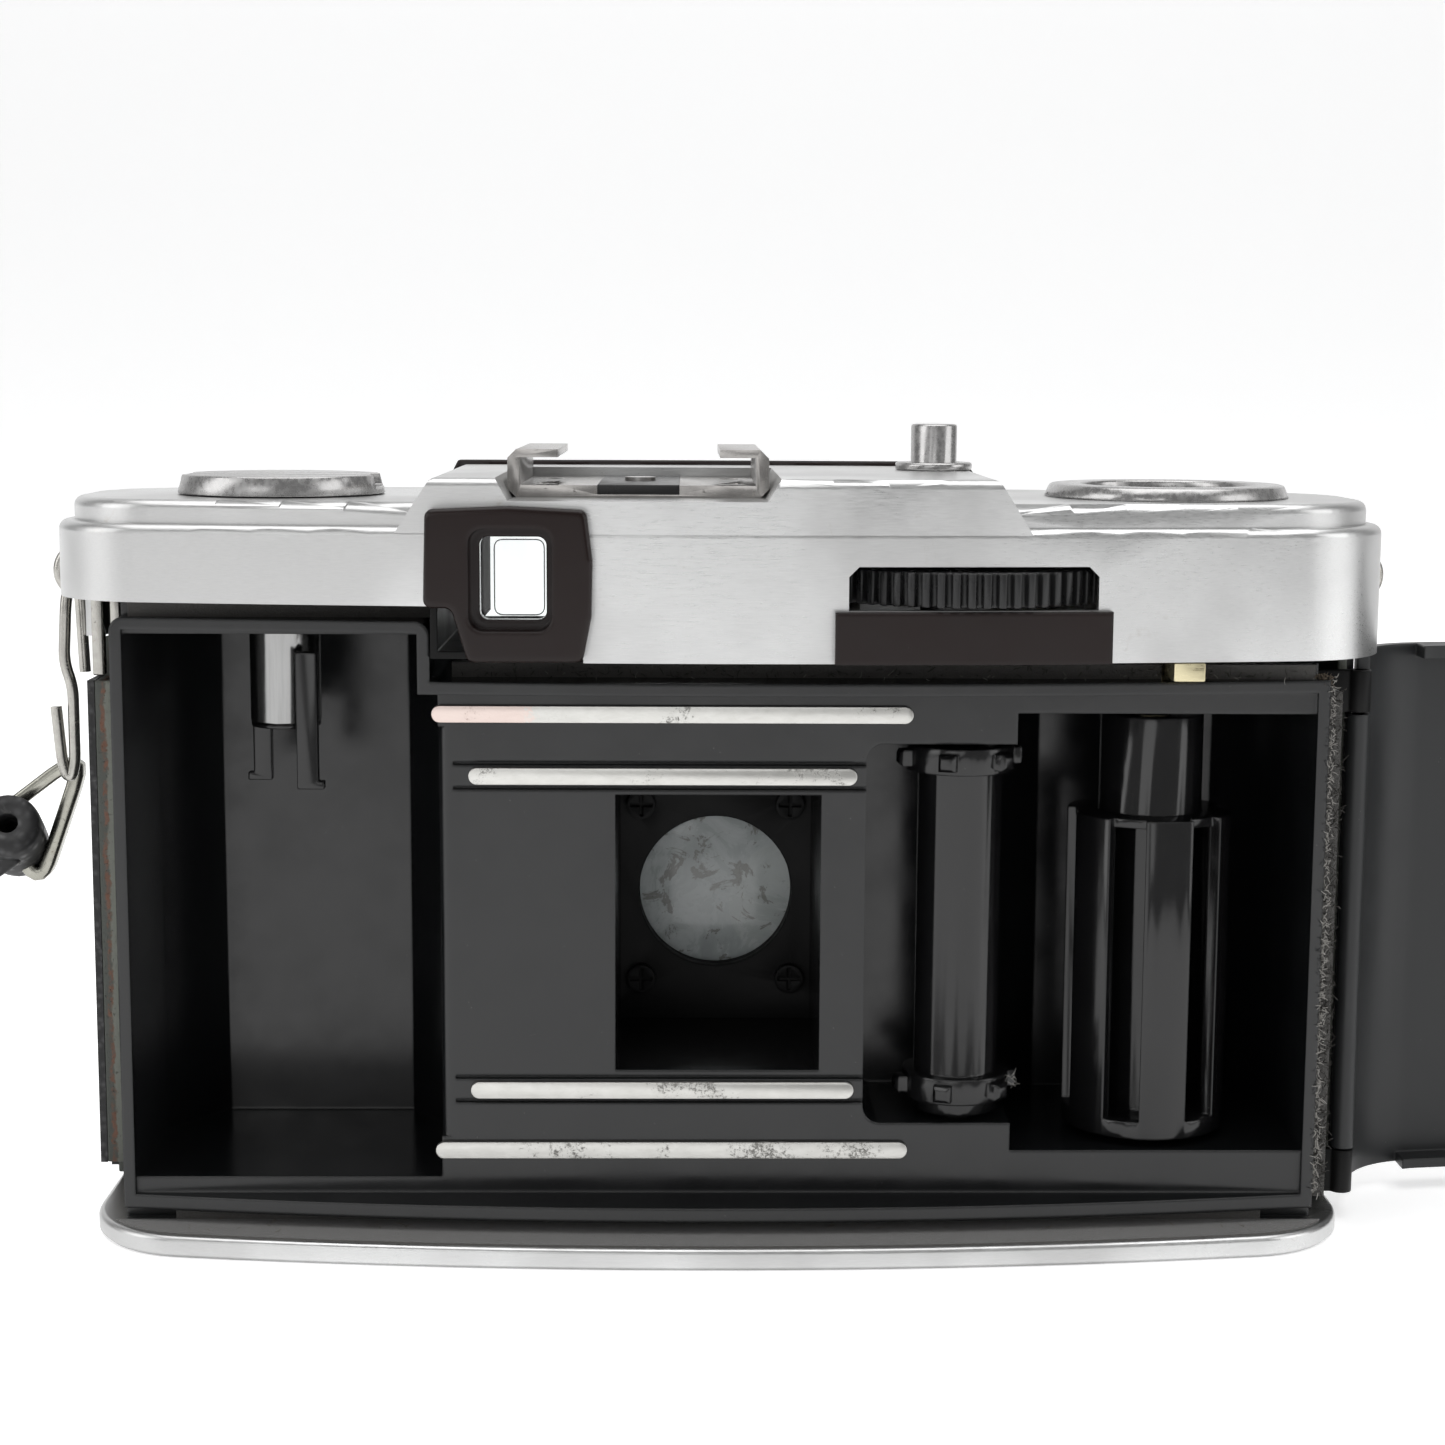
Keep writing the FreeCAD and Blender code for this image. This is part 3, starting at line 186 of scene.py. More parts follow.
def brushed(name, light, dark, rough_low, rough_high, along=(0.12, 3.0, 3.0), scratches=0.25):
    """Satin metal with fine lines along one direction and faint handling marks."""
    s = Shader(name, Metallic=1.0)
    lines = s.noise(along, 6.0, 0.6)
    cloud = s.noise(0.12, 3.0)
    grime = s.remap(s.noise(0.9, 8.0, 0.7, 0.4), 0.66, 0.78)
    s.color(s.mix(grime, s.mix(lines, dark, light), tuple(0.45 * c for c in dark)))
    polish = s.remap(lines, 0.3, 0.7, rough_low, rough_high)
    s.rough(s.math("ADD", polish, s.remap(cloud, 0.3, 0.7, -0.03, 0.05)))
    s.bump(lines, scratches, 0.02)
    return s


def satin_chrome():
    """Satin plate with fine level brushing, soft clouds and a little brown grime."""
    s = Shader("satin_chrome", Metallic=1.0)
    grain = s.noise((0.7, 9.0, 11.0), 6.0, 0.7)
    cloud = s.noise(0.045, 3.0)
    fleck = s.remap(s.noise(2.6, 7.0, 0.75), 0.66, 0.74)
    dirt = s.remap(s.noise(0.30, 9.0, 0.78, 0.6), 0.60, 0.72)
    tone = s.mix(grain, (0.54, 0.545, 0.545), (0.72, 0.72, 0.715))
    tone = s.mix(s.remap(cloud, 0.40, 0.62), tone, s.mix(grain, (0.43, 0.43, 0.43), (0.58, 0.58, 0.575)))
    tone = s.mix(s.math("MULTIPLY", fleck, 0.40), tone, (0.22, 0.19, 0.15))
    s.color(s.mix(s.math("MULTIPLY", dirt, 0.25), tone, (0.30, 0.26, 0.20)))
    s.rough(s.math("ADD", s.remap(grain, 0.3, 0.7, 0.27, 0.40), s.remap(cloud, 0.3, 0.7, -0.03, 0.04)))
    s.bump(grain, 0.30, 0.012)
    return s


def worn_rail():
    """Bright strip with diagonal polish lines, whose coating has rubbed into grey flecks."""
    s = Shader("worn_rail")
    lines = s.noise((0.6, 6.0, 1.4), 6.0, 0.65, 0.4)
    patch = s.noise(0.13, 3.0, 0.6)
    fleck = s.noise(3.2, 9.0, 0.8, 0.3)
    dark = s.remap(s.math("ADD", fleck, s.remap(patch, 0.42, 0.66, -0.12, 0.09)), 0.555, 0.645)
    worn = s.mix(s.math("MULTIPLY", dark, 0.75), s.mix(lines, (0.45, 0.445, 0.42), (0.66, 0.655, 0.63)),
                 (0.10, 0.095, 0.085))
    # painted reflection: a pinkish tint over the top rail's far end, with a ragged edge
    ragged = s.math("ADD", s.axis("X"), s.remap(fleck, 0.3, 0.7, -1.0, 1.0))
    far_end = s.remap(ragged, PINK_REFLECTION_END_X_MM + 0.4, PINK_REFLECTION_END_X_MM - 0.4)
    painted_pink_reflection = s.math("MULTIPLY", far_end, s.remap(s.axis("Z"), TOP_RAIL_Z_MM - 0.2, TOP_RAIL_Z_MM + 0.2))
    s.color(s.mix(s.math("MULTIPLY", painted_pink_reflection, 0.6), worn, (0.66, 0.50, 0.45)))
    s.metal(s.remap(dark, 0.0, 1.0, 1.0, 0.5))
    s.rough(s.remap(dark, 0.0, 1.0, 0.30, 0.65))
    s.bump(s.math("SUBTRACT", lines, dark), 0.3, 0.02)
    return s


def black_paint(name, shade, rough, dust=0.25, edge_mm=0.25, grain=0.25, gloss=0.35):
    """Black coating with faint cloudiness, dust specks and edges shaded as if rounded."""
    s = Shader(name, Specular_IOR_Level=gloss)
    s.soft_edges(edge_mm)
    cloud = s.noise(0.18, 5.0, 0.6)
    speck = s.remap(s.cells(2.2), 0.10, 0.04)
    choose = s.remap(s.noise(0.7, 3.0, 0.5, 0.0, (7, 3, 5)), 0.60, 0.68)
    fine = s.noise(14.0, 2.0, 0.5)
    base = s.mix(cloud, tuple(0.75 * c for c in shade), tuple(1.35 * c for c in shade))
    dusty = s.math("MULTIPLY", s.math("MULTIPLY", speck, choose), dust)
    s.color(s.mix(dusty, base, (0.34, 0.33, 0.31)))
    s.rough(s.remap(cloud, 0.3, 0.7, rough - 0.05, rough + 0.06))
    s.bump(fine, grain, 0.015)
    return s


def casting():
    """Semi-gloss black casting; the well in front of the film gate is matt and much darker."""
    s = black_paint("casting", (0.0048, 0.0052, 0.0057), 0.20, 0.5, 0.4, 0.15, 0.50)
    deep = s.remap(s.axis("Y"), WELL_MOUTH_Y_MM, WELL_MOUTH_Y_MM + 1.7)
    aside = s.math("ABSOLUTE", s.math("SUBTRACT", s.axis("X"), LENS_X_MM), 0.0)
    across = s.remap(aside, WELL_HALF_W_MM + 0.3, WELL_HALF_W_MM)
    well = s.math("MULTIPLY", deep, across)
    colour = s.bsdf.inputs["Base Color"].links[0].from_socket
    s.color(s.mix(well, colour, (0.009, 0.009, 0.0092)))
    s.link(s.remap(well, 0.0, 1.0, 0.50, 0.10), s.bsdf.inputs["Specular IOR Level"])
    return s


def corroded_shell():
    """Left rim of the front panel: tarnished green-grey paint, a rust seam and bare bright metal."""
    s = Shader("shell")
    s.soft_edges(0.25)
    wander = s.math("MULTIPLY", s.math("SUBTRACT", s.noise(0.35, 6.0, 0.7), 0.5), 1.4)
    place = s.math("ADD", s.axis("X"), wander)
    tone = s.noise(0.7, 7.0, 0.7)
    pits = s.remap(s.noise(3.0, 8.0, 0.78), 0.57, 0.68)
    paint = s.mix(tone, (0.020, 0.024, 0.021), (0.085, 0.092, 0.078))
    bare = s.mix(tone, (0.085, 0.09, 0.08), (0.22, 0.23, 0.20))
    start = s.remap(place, RUST_SEAM_X_MM - 0.3, RUST_SEAM_X_MM - 0.1)
    seam = s.math("MULTIPLY", start, s.remap(place, RUST_SEAM_X_MM + 0.3, RUST_SEAM_X_MM + 0.1))
    bright = s.remap(place, RUST_SEAM_X_MM + 0.05, RUST_SEAM_X_MM + 0.25)
    base = s.mix(bright, paint, bare)
    rusty = s.math("MULTIPLY", seam, s.remap(s.noise(1.1, 6.0, 0.7), 0.40, 0.60))
    base = s.mix(rusty, base, (0.13, 0.055, 0.030))
    s.color(s.mix(s.math("MULTIPLY", pits, 0.6), base, (0.045, 0.038, 0.030)))
    s.metal(s.remap(bright, 0.0, 1.0, 0.1, 0.55))
    s.rough(s.remap(tone, 0.3, 0.7, 0.42, 0.7))
    s.bump(s.math("SUBTRACT", tone, pits), 0.7, 0.10)
    return s


def gloss_black(name, shade, rough):
    """Polished black plastic with dust and a faint warm tint."""
    s = Shader(name, Coat_Weight=0.12, Coat_Roughness=0.05, Specular_IOR_Level=0.18)
    s.soft_edges(0.5)
    cloud = s.noise(0.25, 4.0)
    dust = s.remap(s.cells(1.1), 0.07, 0.03)
    choose = s.remap(s.noise(0.5, 3.0, 0.5, 0.0, (1, 9, 4)), 0.58, 0.66)
    haze = s.math("MULTIPLY", s.math("MULTIPLY", dust, choose), 0.5)
    s.color(s.mix(haze, s.mix(cloud, tuple(0.8 * c for c in shade), tuple(1.2 * c for c in shade)),
                  (0.40, 0.38, 0.36)))
    s.rough(s.remap(cloud, 0.3, 0.75, rough, rough + 0.12))
    return s


def velvet():
    """Old light-seal felt with lint caught in it."""
    s = Shader("seal_foam", Roughness=0.95)
    s.bsdf.inputs["Sheen Weight"].default_value = 0.5
    s.bsdf.inputs["Sheen Roughness"].default_value = 0.6
    fibre = s.noise((5.0, 5.0, 5.0), 8.0, 0.75)
    lint = s.remap(s.noise(3.0, 8.0, 0.8, 0.8), 0.62, 0.72)
    s.color(s.mix(s.math("MULTIPLY", lint, 0.5), s.mix(fibre, (0.012, 0.011, 0.009), (0.05, 0.045, 0.038)),
                  (0.22, 0.19, 0.15)))
    s.bump(fibre, 0.9, 0.25)
    return s


def leather(name, shade, per_mm, rough=0.45):
    """Fine pebbled hide with darker creases and rubbed high spots."""
    s = Shader(name)
    pebble = s.cells(per_mm)
    crease = s.noise(per_mm * 0.5, 6.0, 0.65, 0.6)
    base = s.mix(s.remap(pebble, 0.1, 0.6), tuple(1.5 * c for c in shade), tuple(0.6 * c for c in shade))
    scuff = s.math("MULTIPLY", s.remap(crease, 0.60, 0.72), 0.35)
    s.color(s.mix(scuff, base, (0.16, 0.155, 0.15)))
    s.rough(s.remap(pebble, 0.0, 0.6, rough - 0.1, rough + 0.2))
    s.bump(s.remap(pebble, 0.0, 0.7, 1.0, 0.0), 0.5, 0.08)
    s.bump(crease, 0.35, 0.06)
    return s


def tarnished(name, light, dark, rust=(0.20, 0.10, 0.05), amount=0.5):
    """Thin steel with tarnish, pits and a little rust."""
    s = Shader(name)
    tone = s.noise(0.8, 6.0, 0.65)
    pits = s.remap(s.noise(3.5, 8.0, 0.75), 0.60, 0.70)
    rusty = s.math("MULTIPLY", s.remap(s.noise(1.3, 7.0, 0.7, 0.4, (4, 4, 1)), 0.60, 0.70), amount)
    base = s.mix(pits, s.mix(tone, dark, light), tuple(0.35 * c for c in dark))
    s.color(s.mix(rusty, base, rust))
    s.metal(s.remap(rusty, 0.0, 1.0, 1.0, 0.1))
    s.rough(s.remap(s.math("ADD", pits, rusty), 0.0, 1.2, 0.26, 0.75))
    s.bump(pits, 0.3, 0.04)
    return s


def hazed_glass():
    """Old inner element: milky bloom, fine scratches and brown stains over dark glass, with a painted pale
    reflection arc.
    """
    s = Shader("hazed_glass", IOR=1.52, Coat_Weight=0.4, Coat_Roughness=0.03)
    bloom = s.noise(0.22, 7.0, 0.66, 0.6)
    scratch = s.remap(s.noise((0.25, 2.0, 1.6), 9.0, 0.8, 0.4), 0.56, 0.64)
    stains = s.remap(s.noise(0.30, 8.0, 0.68, 0.9, (2.1, 0, 1.2)), 0.555, 0.59)
    haze = s.mix(s.remap(bloom, 0.32, 0.68), (0.33, 0.36, 0.36), (0.49, 0.525, 0.525))
    haze = s.mix(s.math("MULTIPLY", scratch, 0.25), haze, (0.40, 0.42, 0.42))
    # painted reflection: a pale ring-shaped arc mixed into the haze
    across = s.math("POWER", s.math("ADD", s.axis("X"), -REFLECTION_ARC_X_MM), 2.0)
    upward = s.math("POWER", s.math("ADD", s.axis("Z"), -REFLECTION_ARC_Z_MM), 2.0)
    painted_reflection_arc = s.remap(s.math("ADD", across, upward), REFLECTION_ARC_R_MM ** 2 + 0.75, REFLECTION_ARC_R_MM ** 2 - 0.75)
    haze = s.mix(s.math("MULTIPLY", painted_reflection_arc, 0.22), haze, (0.50, 0.53, 0.50))
    s.color(s.mix(s.math("MULTIPLY", stains, 0.65), haze, (0.11, 0.10, 0.08)))
    s.rough(s.remap(bloom, 0.3, 0.7, 0.18, 0.4))
    return s


def clear_glass():
    """Window glass with a faint smear."""
    s = Shader("glass", Transmission_Weight=1.0, IOR=1.45)
    tint = (0.97, 0.99, 0.985)
    smear = s.noise(0.3, 4.0)
    s.color(s.mix(smear, tint, tuple(0.985 * c for c in tint)))
    s.rough(s.remap(smear, 0.3, 0.7, 0.0, 0.03))
    return s


def brass_tab():
    """Lightly brushed pale brass."""
    s = Shader("brass_tab", Metallic=1.0)
    tone = s.noise((1.0, 6.0, 6.0), 5.0)
    s.color(s.mix(tone, (0.48, 0.42, 0.26), (0.76, 0.70, 0.48)))
    s.rough(s.remap(tone, 0.3, 0.7, 0.25, 0.5))
    s.bump(tone, 0.3, 0.03)
    return s


def meter_face():
    """Ribbed clear cover of the light cell."""
    s = Shader("meter_face", Coat_Weight=0.8, Coat_Roughness=0.05)
    bead = s.cells(0.9, 0.0)
    s.color(s.mix(s.remap(bead, 0.1, 0.5), (0.42, 0.42, 0.46), (0.16, 0.15, 0.19)))
    s.rough(s.remap(bead, 0.0, 0.6, 0.15, 0.35))
    s.bump(s.remap(bead, 0.0, 0.6, 1.0, 0.0), 0.8, 0.25)
    return s


def lint_material(name, shade):
    """Dull, slightly uneven shade for fibres and small matt pieces."""
    s = Shader(name, Roughness=0.9)
    s.color(s.mix(s.noise(2.0, 3.0), tuple(0.7 * c for c in shade), shade))
    return s


SHADERS = {
    "satin_chrome": satin_chrome(),
    "rail": worn_rail(),
    "steel": brushed("steel", (0.55, 0.54, 0.53), (0.34, 0.33, 0.32), 0.22, 0.38),
    "steel_upright": brushed("steel_upright", (0.38, 0.38, 0.38), (0.20, 0.20, 0.195), 0.14, 0.26,
                             (3.0, 3.0, 0.12)),
    "spring": brushed("spring", (0.42, 0.41, 0.40), (0.24, 0.23, 0.22), 0.3, 0.5),
    "casting": casting(),
    "inner_black": black_paint("inner_black", (0.006, 0.006, 0.006), 0.45, 0.15, 0.25, 0.25, 0.15),
    "gate_black": black_paint("gate_black", (0.009, 0.009, 0.0092), 0.5, 0.1, 0.15, 0.25, 0.12),
    "door_inside": black_paint("door_inside", (0.014, 0.0148, 0.0155), 0.42, 0.3, 0.3, 0.3, 0.40),
    "plastic": black_paint("plastic", (0.0045, 0.0045, 0.0048), 0.15, 0.35, 0.25, 0.12, 0.50),
    "wheel": black_paint("wheel", (0.012, 0.012, 0.0125), 0.30, 0.3),
    "bezel": gloss_black("bezel", (0.0085, 0.0040, 0.0035), 0.10),
    "anodised": black_paint("anodised", (0.014, 0.014, 0.015), 0.32, 0.1),
    "foam": velvet(),
    "leatherette": leather("leatherette", (0.018, 0.018, 0.019), 1.6),
    "strap": leather("strap", (0.020, 0.020, 0.021), 1.1, 0.42),
    "aluminium": brushed("aluminium", (0.50, 0.495, 0.49), (0.27, 0.265, 0.265), 0.18, 0.32,
                         (2.0, 2.0, 2.0), 0.15),
    "shell": corroded_shell(),
    "wire": tarnished("wire", (0.52, 0.51, 0.48), (0.26, 0.25, 0.23), (0.25, 0.18, 0.12), 0.4),
    "ring": tarnished("ring", (0.42, 0.415, 0.37), (0.25, 0.245, 0.21), (0.22, 0.18, 0.12), 0.5),
    "shoe": tarnished("shoe", (0.46, 0.445, 0.43), (0.25, 0.24, 0.23), (0.28, 0.22, 0.17), 0.35),
    "hazed_glass": hazed_glass(),
    "glass": clear_glass(),
    "brass": brass_tab(),
    "meter": meter_face(),
    "mask": lint_material("mask", (0.16, 0.16, 0.165)),
    "pale_lint": lint_material("pale_lint", (0.30, 0.29, 0.27)),
    "dark_fuzz": lint_material("dark_fuzz", (0.035, 0.032, 0.028)),
    "brown_grime": lint_material("brown_grime", (0.14, 0.11, 0.08)),
}
MATERIALS = {key: shader.material for key, shader in SHADERS.items()}

NODE_MATERIAL = {
    "base_plate": "satin_chrome", "tripod_socket": "steel", "base_screws": "steel",
    "body_casting": "casting", "film_rails": "rail", "light_seals": "foam",
    "top_cover": "satin_chrome", "eyepiece_bezel": "bezel", "eyepiece_lens": "glass",
    "finder_tube": "inner_black", "front_window_bezel": "bezel", "front_window_glass": "glass",
    "thumb_plate": "bezel", "accessory_shoe": "shoe", "shoe_insulator": "wheel",
    "shoe_contact": "steel", "small_screws": "gate_black", "front_shell": "shell",
    "front_leatherette": "leatherette", "lens_mount_plate": "gate_black",
    "shutter_housing": "inner_black", "shutter_blade_left": "spring",
    "shutter_blade_right": "spring", "rear_element": "hazed_glass", "lens_barrel": "anodised",
    "lens_cell": "anodised", "aperture_ring": "aluminium", "lens_front_ring": "anodised",
    "meter_cell": "meter", "front_element": "glass", "advance_wheel": "wheel",
    "drive_gear": "steel_upright", "sprocket": "plastic", "idler_gear": "brass",
    "takeup_spool": "plastic", "spool_gear": "brass", "mechanism_plate": "spring",
    "rewind_knob": "aluminium", "rewind_crank": "aluminium", "rewind_shaft": "steel_upright",
    "rewind_sleeve": "spring", "rewind_fork": "plastic", "cover_rings": "aluminium",
    "counter_window": "glass", "counter_dial": "plastic", "counter_reset_pin": "brass",
    "shutter_button": "aluminium", "button_spring": "spring", "rewind_release_button": "steel",
    "back_door": "door_inside", "door_leatherette": "leatherette", "pressure_plate": "inner_black",
    "door_springs": "spring", "body_hinge": "inner_black", "door_latch": "wire", "strap_lugs": "wire",
    "wire_link": "wire", "strap_ring": "ring", "strap_fold": "strap", "wrist_strap": "strap",
}


def dress(obj, key):
    obj.data.materials.clear()
    obj.data.materials.append(MATERIALS[key])


for node_name, key in NODE_MATERIAL.items():
    for material_slot in NODES[node_name].material_slots:
        material_slot.material = MATERIALS[key]

# ---- rounded copies of CAD shells ---------------------------------------------------------


def link_new(name, mesh):
    obj = bpy.data.objects.new(name, mesh)
    bpy.context.scene.collection.objects.link(obj)
    return obj


def rounded(node, width_mm):
    """A copy of a CAD node with its sharp edges rounded, standing for that node."""
    mesh = NODES[node].data.copy()
    work = bmesh.new()
    work.from_mesh(mesh)
    bmesh.ops.remove_doubles(work, verts=work.verts, dist=0.004 * MM)
    bmesh.ops.dissolve_limit(work, angle_limit=math.radians(0.6), verts=work.verts, edges=work.edges)
    bmesh.ops.recalc_face_normals(work, faces=work.faces)
    for face in work.faces:
        face.smooth = True
    work.to_mesh(mesh)
    work.free()
    piece = link_new(node + "_rounded", mesh)
    bevel = piece.modifiers.new("round", "BEVEL")
    bevel.width = width_mm * MM
    bevel.segments = 2
    bevel.limit_method = "ANGLE"
    bevel.angle_limit = math.radians(32)
    bevel.harden_normals = True
    bevel.miter_outer = "MITER_ARC"
    dress(piece, NODE_MATERIAL[node])
    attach(piece, BODY_OF[node])
    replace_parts(piece, node)


def flat_regions(work, limit=math.radians(0.05)):
    """Number of the flat region that each face lies in, and the area of each region."""
    region, areas = {}, []
    for seed in work.faces:
        if seed in region:
            continue
        number = len(areas)
        region[seed] = number
        areas.append(0.0)
        waiting = [seed]
        while waiting:
            face = waiting.pop()
            areas[number] += face.calc_area()
            for edge in face.edges:
                if edge.calc_face_angle(9.0) < limit:
                    for other in edge.link_faces:
                        if other not in region:
                            region[other] = number
                            waiting.append(other)
    return region, areas


def smooth_fans(vert):
    """Faces round a vertex, split where a sharp edge meets it."""
    left = set(vert.link_faces)
    while left:
        fan, waiting = set(), [left.pop()]
        while waiting:
            face = waiting.pop()
            fan.add(face)
            for edge in face.edges:
                if vert in edge.verts and edge.smooth:
                    for other in edge.link_faces:
                        if other in left:
                            left.discard(other)
                            waiting.append(other)
        yield fan


def evened(node):
    """A copy of a CAD node whose big flat faces shade flat right up to their rounded rims."""
    mesh = NODES[node].data.copy()
    work = bmesh.new()
    work.from_mesh(mesh)
    bmesh.ops.remove_doubles(work, verts=work.verts, dist=0.002 * MM)
    for face in work.faces:
        face.smooth = True
    for edge in work.edges:
        edge.smooth = edge.calc_face_angle(9.0) < math.radians(52)
    work.faces.index_update()
    work.faces.ensure_lookup_table()
    region, areas = flat_regions(work)
    corner_normal = {}
    for vert in work.verts:
        for fan in smooth_fans(vert):
            largest = {region[face]: face.normal * areas[region[face]] for face in fan}
            normal = sum(largest.values(), Vector()).normalized()
            for face in fan:
                corner_normal[face.index, vert.index] = normal
    normals = [corner_normal[face.index, loop.vert.index] for face in work.faces for loop in face.loops]
    work.to_mesh(mesh)
    work.free()
    mesh.normals_split_custom_set(normals)
    piece = link_new(node + "_even", mesh)
    dress(piece, NODE_MATERIAL[node])
    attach(piece, BODY_OF[node])
    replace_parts(piece, node)
    return piece


for node_name in ("top_cover", "body_casting", "base_plate", "back_door", "eyepiece_bezel", "thumb_plate"):
    evened(node_name)
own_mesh(evened("button_spring"))

ROUNDING_MM = {
    "advance_wheel": 0.12, "accessory_shoe": 0.12, "shoe_insulator": 0.1, "rewind_knob": 0.2,
    "rewind_crank": 0.15, "cover_rings": 0.2,
    "shutter_button": 0.2, "film_rails": 0.08, "sprocket": 0.15, "takeup_spool": 0.2,
    "rewind_fork": 0.12, "rewind_shaft": 0.15, "counter_reset_pin": 0.15,
    "front_shell": 0.12, "front_window_bezel": 0.2, "lens_barrel": 0.25, "aperture_ring": 0.12,
    "lens_front_ring": 0.25, "lens_cell": 0.2, "door_latch": 0.15, "body_hinge": 0.1,
    "pressure_plate": 0.2, "door_springs": 0.06, "lens_mount_plate": 0.15, "base_screws": 0.1,
    "small_screws": 0.1,
}
for node_name, width in ROUNDING_MM.items():
    rounded(node_name, width)

# ---- studio -------------------------------------------------------------------------------


def cyclorama():
    """Pale floor that curves up into a backdrop far behind."""
    near, far, bend, high, half = -1.6, 1.6, 0.8, 2.6, 3.0
    profile = [(near, 0.0)]
    steps = 12
    for i in range(steps + 1):
        turn = math.pi / 2 * i / steps
        profile.append((far + bend * math.sin(turn), bend - bend * math.cos(turn)))
    profile.append((far + bend, high))
    mesh = bpy.data.meshes.new("floor")
    verts = [(x, y, z) for y, z in profile for x in (-half, half)]
    faces = [(2 * i, 2 * i + 1, 2 * i + 3, 2 * i + 2) for i in range(len(profile) - 1)]
    mesh.from_pydata(verts, [], faces)
    for polygon in mesh.polygons:
        polygon.use_smooth = True
    floor = link_new("floor", mesh)
    s = Shader("studio_white", Roughness=0.55)
    s.bsdf.inputs["Emission Color"].default_value = (1.0, 1.0, 1.0, 1.0)
    s.bsdf.inputs["Emission Strength"].default_value = 0.44
    s.color(s.mix(s.noise(0.002, 3.0), (0.93, 0.93, 0.935), (0.96, 0.96, 0.962)))
    floor.data.materials.append(s.material)


def area_light(name, place, target, size, watts):
    light = bpy.data.lights.new(name, "AREA")
    light.shape = "RECTANGLE"
    light.size, light.size_y = size
    light.energy = watts
    lamp = bpy.data.objects.new(name, light)
    lamp.location = place
    lamp.rotation_euler = (Vector(target) - Vector(place)).to_track_quat("-Z", "Y").to_euler()
    bpy.context.scene.collection.objects.link(lamp)


def studio():
    world = bpy.data.worlds.new("studio")
    bpy.context.scene.world = world
    world.use_nodes = True
    world.node_tree.nodes["Background"].inputs["Color"].default_value = (1.0, 1.0, 1.0, 1.0)
    world.node_tree.nodes["Background"].inputs["Strength"].default_value = 0.36
    centre = (0.0, 0.0, 0.03)
    area_light("top_soft", (0.0, -0.05, 0.75), centre, (0.9, 0.7), 4.6)
    area_light("left_soft", (-0.8, -0.25, 0.35), centre, (0.5, 0.6), 2.0)
    area_light("right_soft", (0.8, -0.35, 0.35), centre, (0.5, 0.6), 1.7)
    area_light("front_panel", (-0.4, -1.1, 0.35), centre, (0.6, 0.4), 1.1)
    bpy.context.scene.view_settings.view_transform = "Standard"


CAMERA_PLACE = mm(-3.16, -215.96, 73.0)
CAMERA_PITCH = 0.1365
CAMERA_YAW = 0.0153
CAMERA_ROLL = 0.005
CAMERA_LENS_MM = 62.94


def photo_camera():
    data = bpy.data.cameras.new("view")
    data.sensor_width = 36.0
    data.lens = CAMERA_LENS_MM
    data.clip_start = 0.01
    data.clip_end = 20.0
    obj = bpy.data.objects.new("view", data)
    look = Vector((math.sin(CAMERA_YAW) * math.cos(CAMERA_PITCH),
                   math.cos(CAMERA_YAW) * math.cos(CAMERA_PITCH), -math.sin(CAMERA_PITCH)))
    right = Vector((math.cos(CAMERA_YAW), -math.sin(CAMERA_YAW), 0.0))
    up = right.cross(look)
    tilt_right = right * math.cos(CAMERA_ROLL) + up * math.sin(CAMERA_ROLL)
    tilt_up = up * math.cos(CAMERA_ROLL) - right * math.sin(CAMERA_ROLL)
    turn = Matrix((tilt_right, tilt_up, -look)).transposed()
    obj.matrix_world = Matrix.Translation(CAMERA_PLACE) @ turn.to_4x4()
    bpy.context.scene.collection.objects.link(obj)
    bpy.context.scene.camera = obj


photo_camera()
cyclorama()
studio()

# ---- wrist strap --------------------------------------------------------------------------
STRAP_WIDTH_MM = 6.5
STRAP_THICK_MM = 1.6
STRAP_ROUTE_MM = [
    (-71.03, 0.9, 24.97), (-84.8, 0.2, 15.4), (-100, -5, 5.4), (-119, -13, 3.2), (-140, -21, 3.2),
    (-161, -23, 3.2), (-178, -14, 3.2), (-184, 4, 3.2), (-177, 22, 3.2), (-160, 31, 3.2),
    (-139, 29, 3.2), (-119, 21, 3.2), (-100, 12, 5.4), (-84.8, 6.8, 15.4), (-71.03, 6.1, 24.97)]


def wrist_strap():
    curve = bpy.data.curves.new("wrist_strap_leather", "CURVE")
    curve.dimensions = "3D"
    curve.twist_mode = "Z_UP"
    spline = curve.splines.new("NURBS")
    spline.points.add(len(STRAP_ROUTE_MM) - 1)
    for point, place in zip(spline.points, STRAP_ROUTE_MM):
        point.co = (*mm(*place), 1.0)
    spline.order_u = 3
    spline.use_endpoint_u = True
    curve.resolution_u = 10
    curve.bevel_depth = STRAP_THICK_MM / 2 * MM
    curve.bevel_resolution = 3
    curve.extrude = (STRAP_WIDTH_MM - STRAP_THICK_MM) / 2 * MM
    strap = link_new("wrist_strap_leather", curve)
    curve.materials.append(MATERIALS["strap"])
    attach(strap, BODY_OF["wrist_strap"])
    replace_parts(strap, "wrist_strap")
    mm(*STRAP_ROUTE_MM[0])


wrist_strap()

# ---- ring, leather roll and lint ----------------------------------------------------------
RING_CORNERS_MM = [(-55.6, 40.3), (-59.9, 28.2), (-63.9, 34.0)]
RING_Y_MM = 4.4


def rounded_loop(corners, radius, steps=5):
    """Points of a closed (x, z) polygon with its corners turned on a radius."""
    loop = []
    for i, corner in enumerate(corners):
        here = Vector(corner)
        back = (Vector(corners[i - 1]) - here).normalized()
        ahead = (Vector(corners[(i + 1) % len(corners)]) - here).normalized()
        reach = radius / math.tan(back.angle(ahead) / 2)
        start, end = here + back * reach, here + ahead * reach
        for k in range(steps + 1):
            t = k / steps
            loop.append(start * (1 - t) ** 2 + here * 2 * t * (1 - t) + end * t ** 2)
    return loop


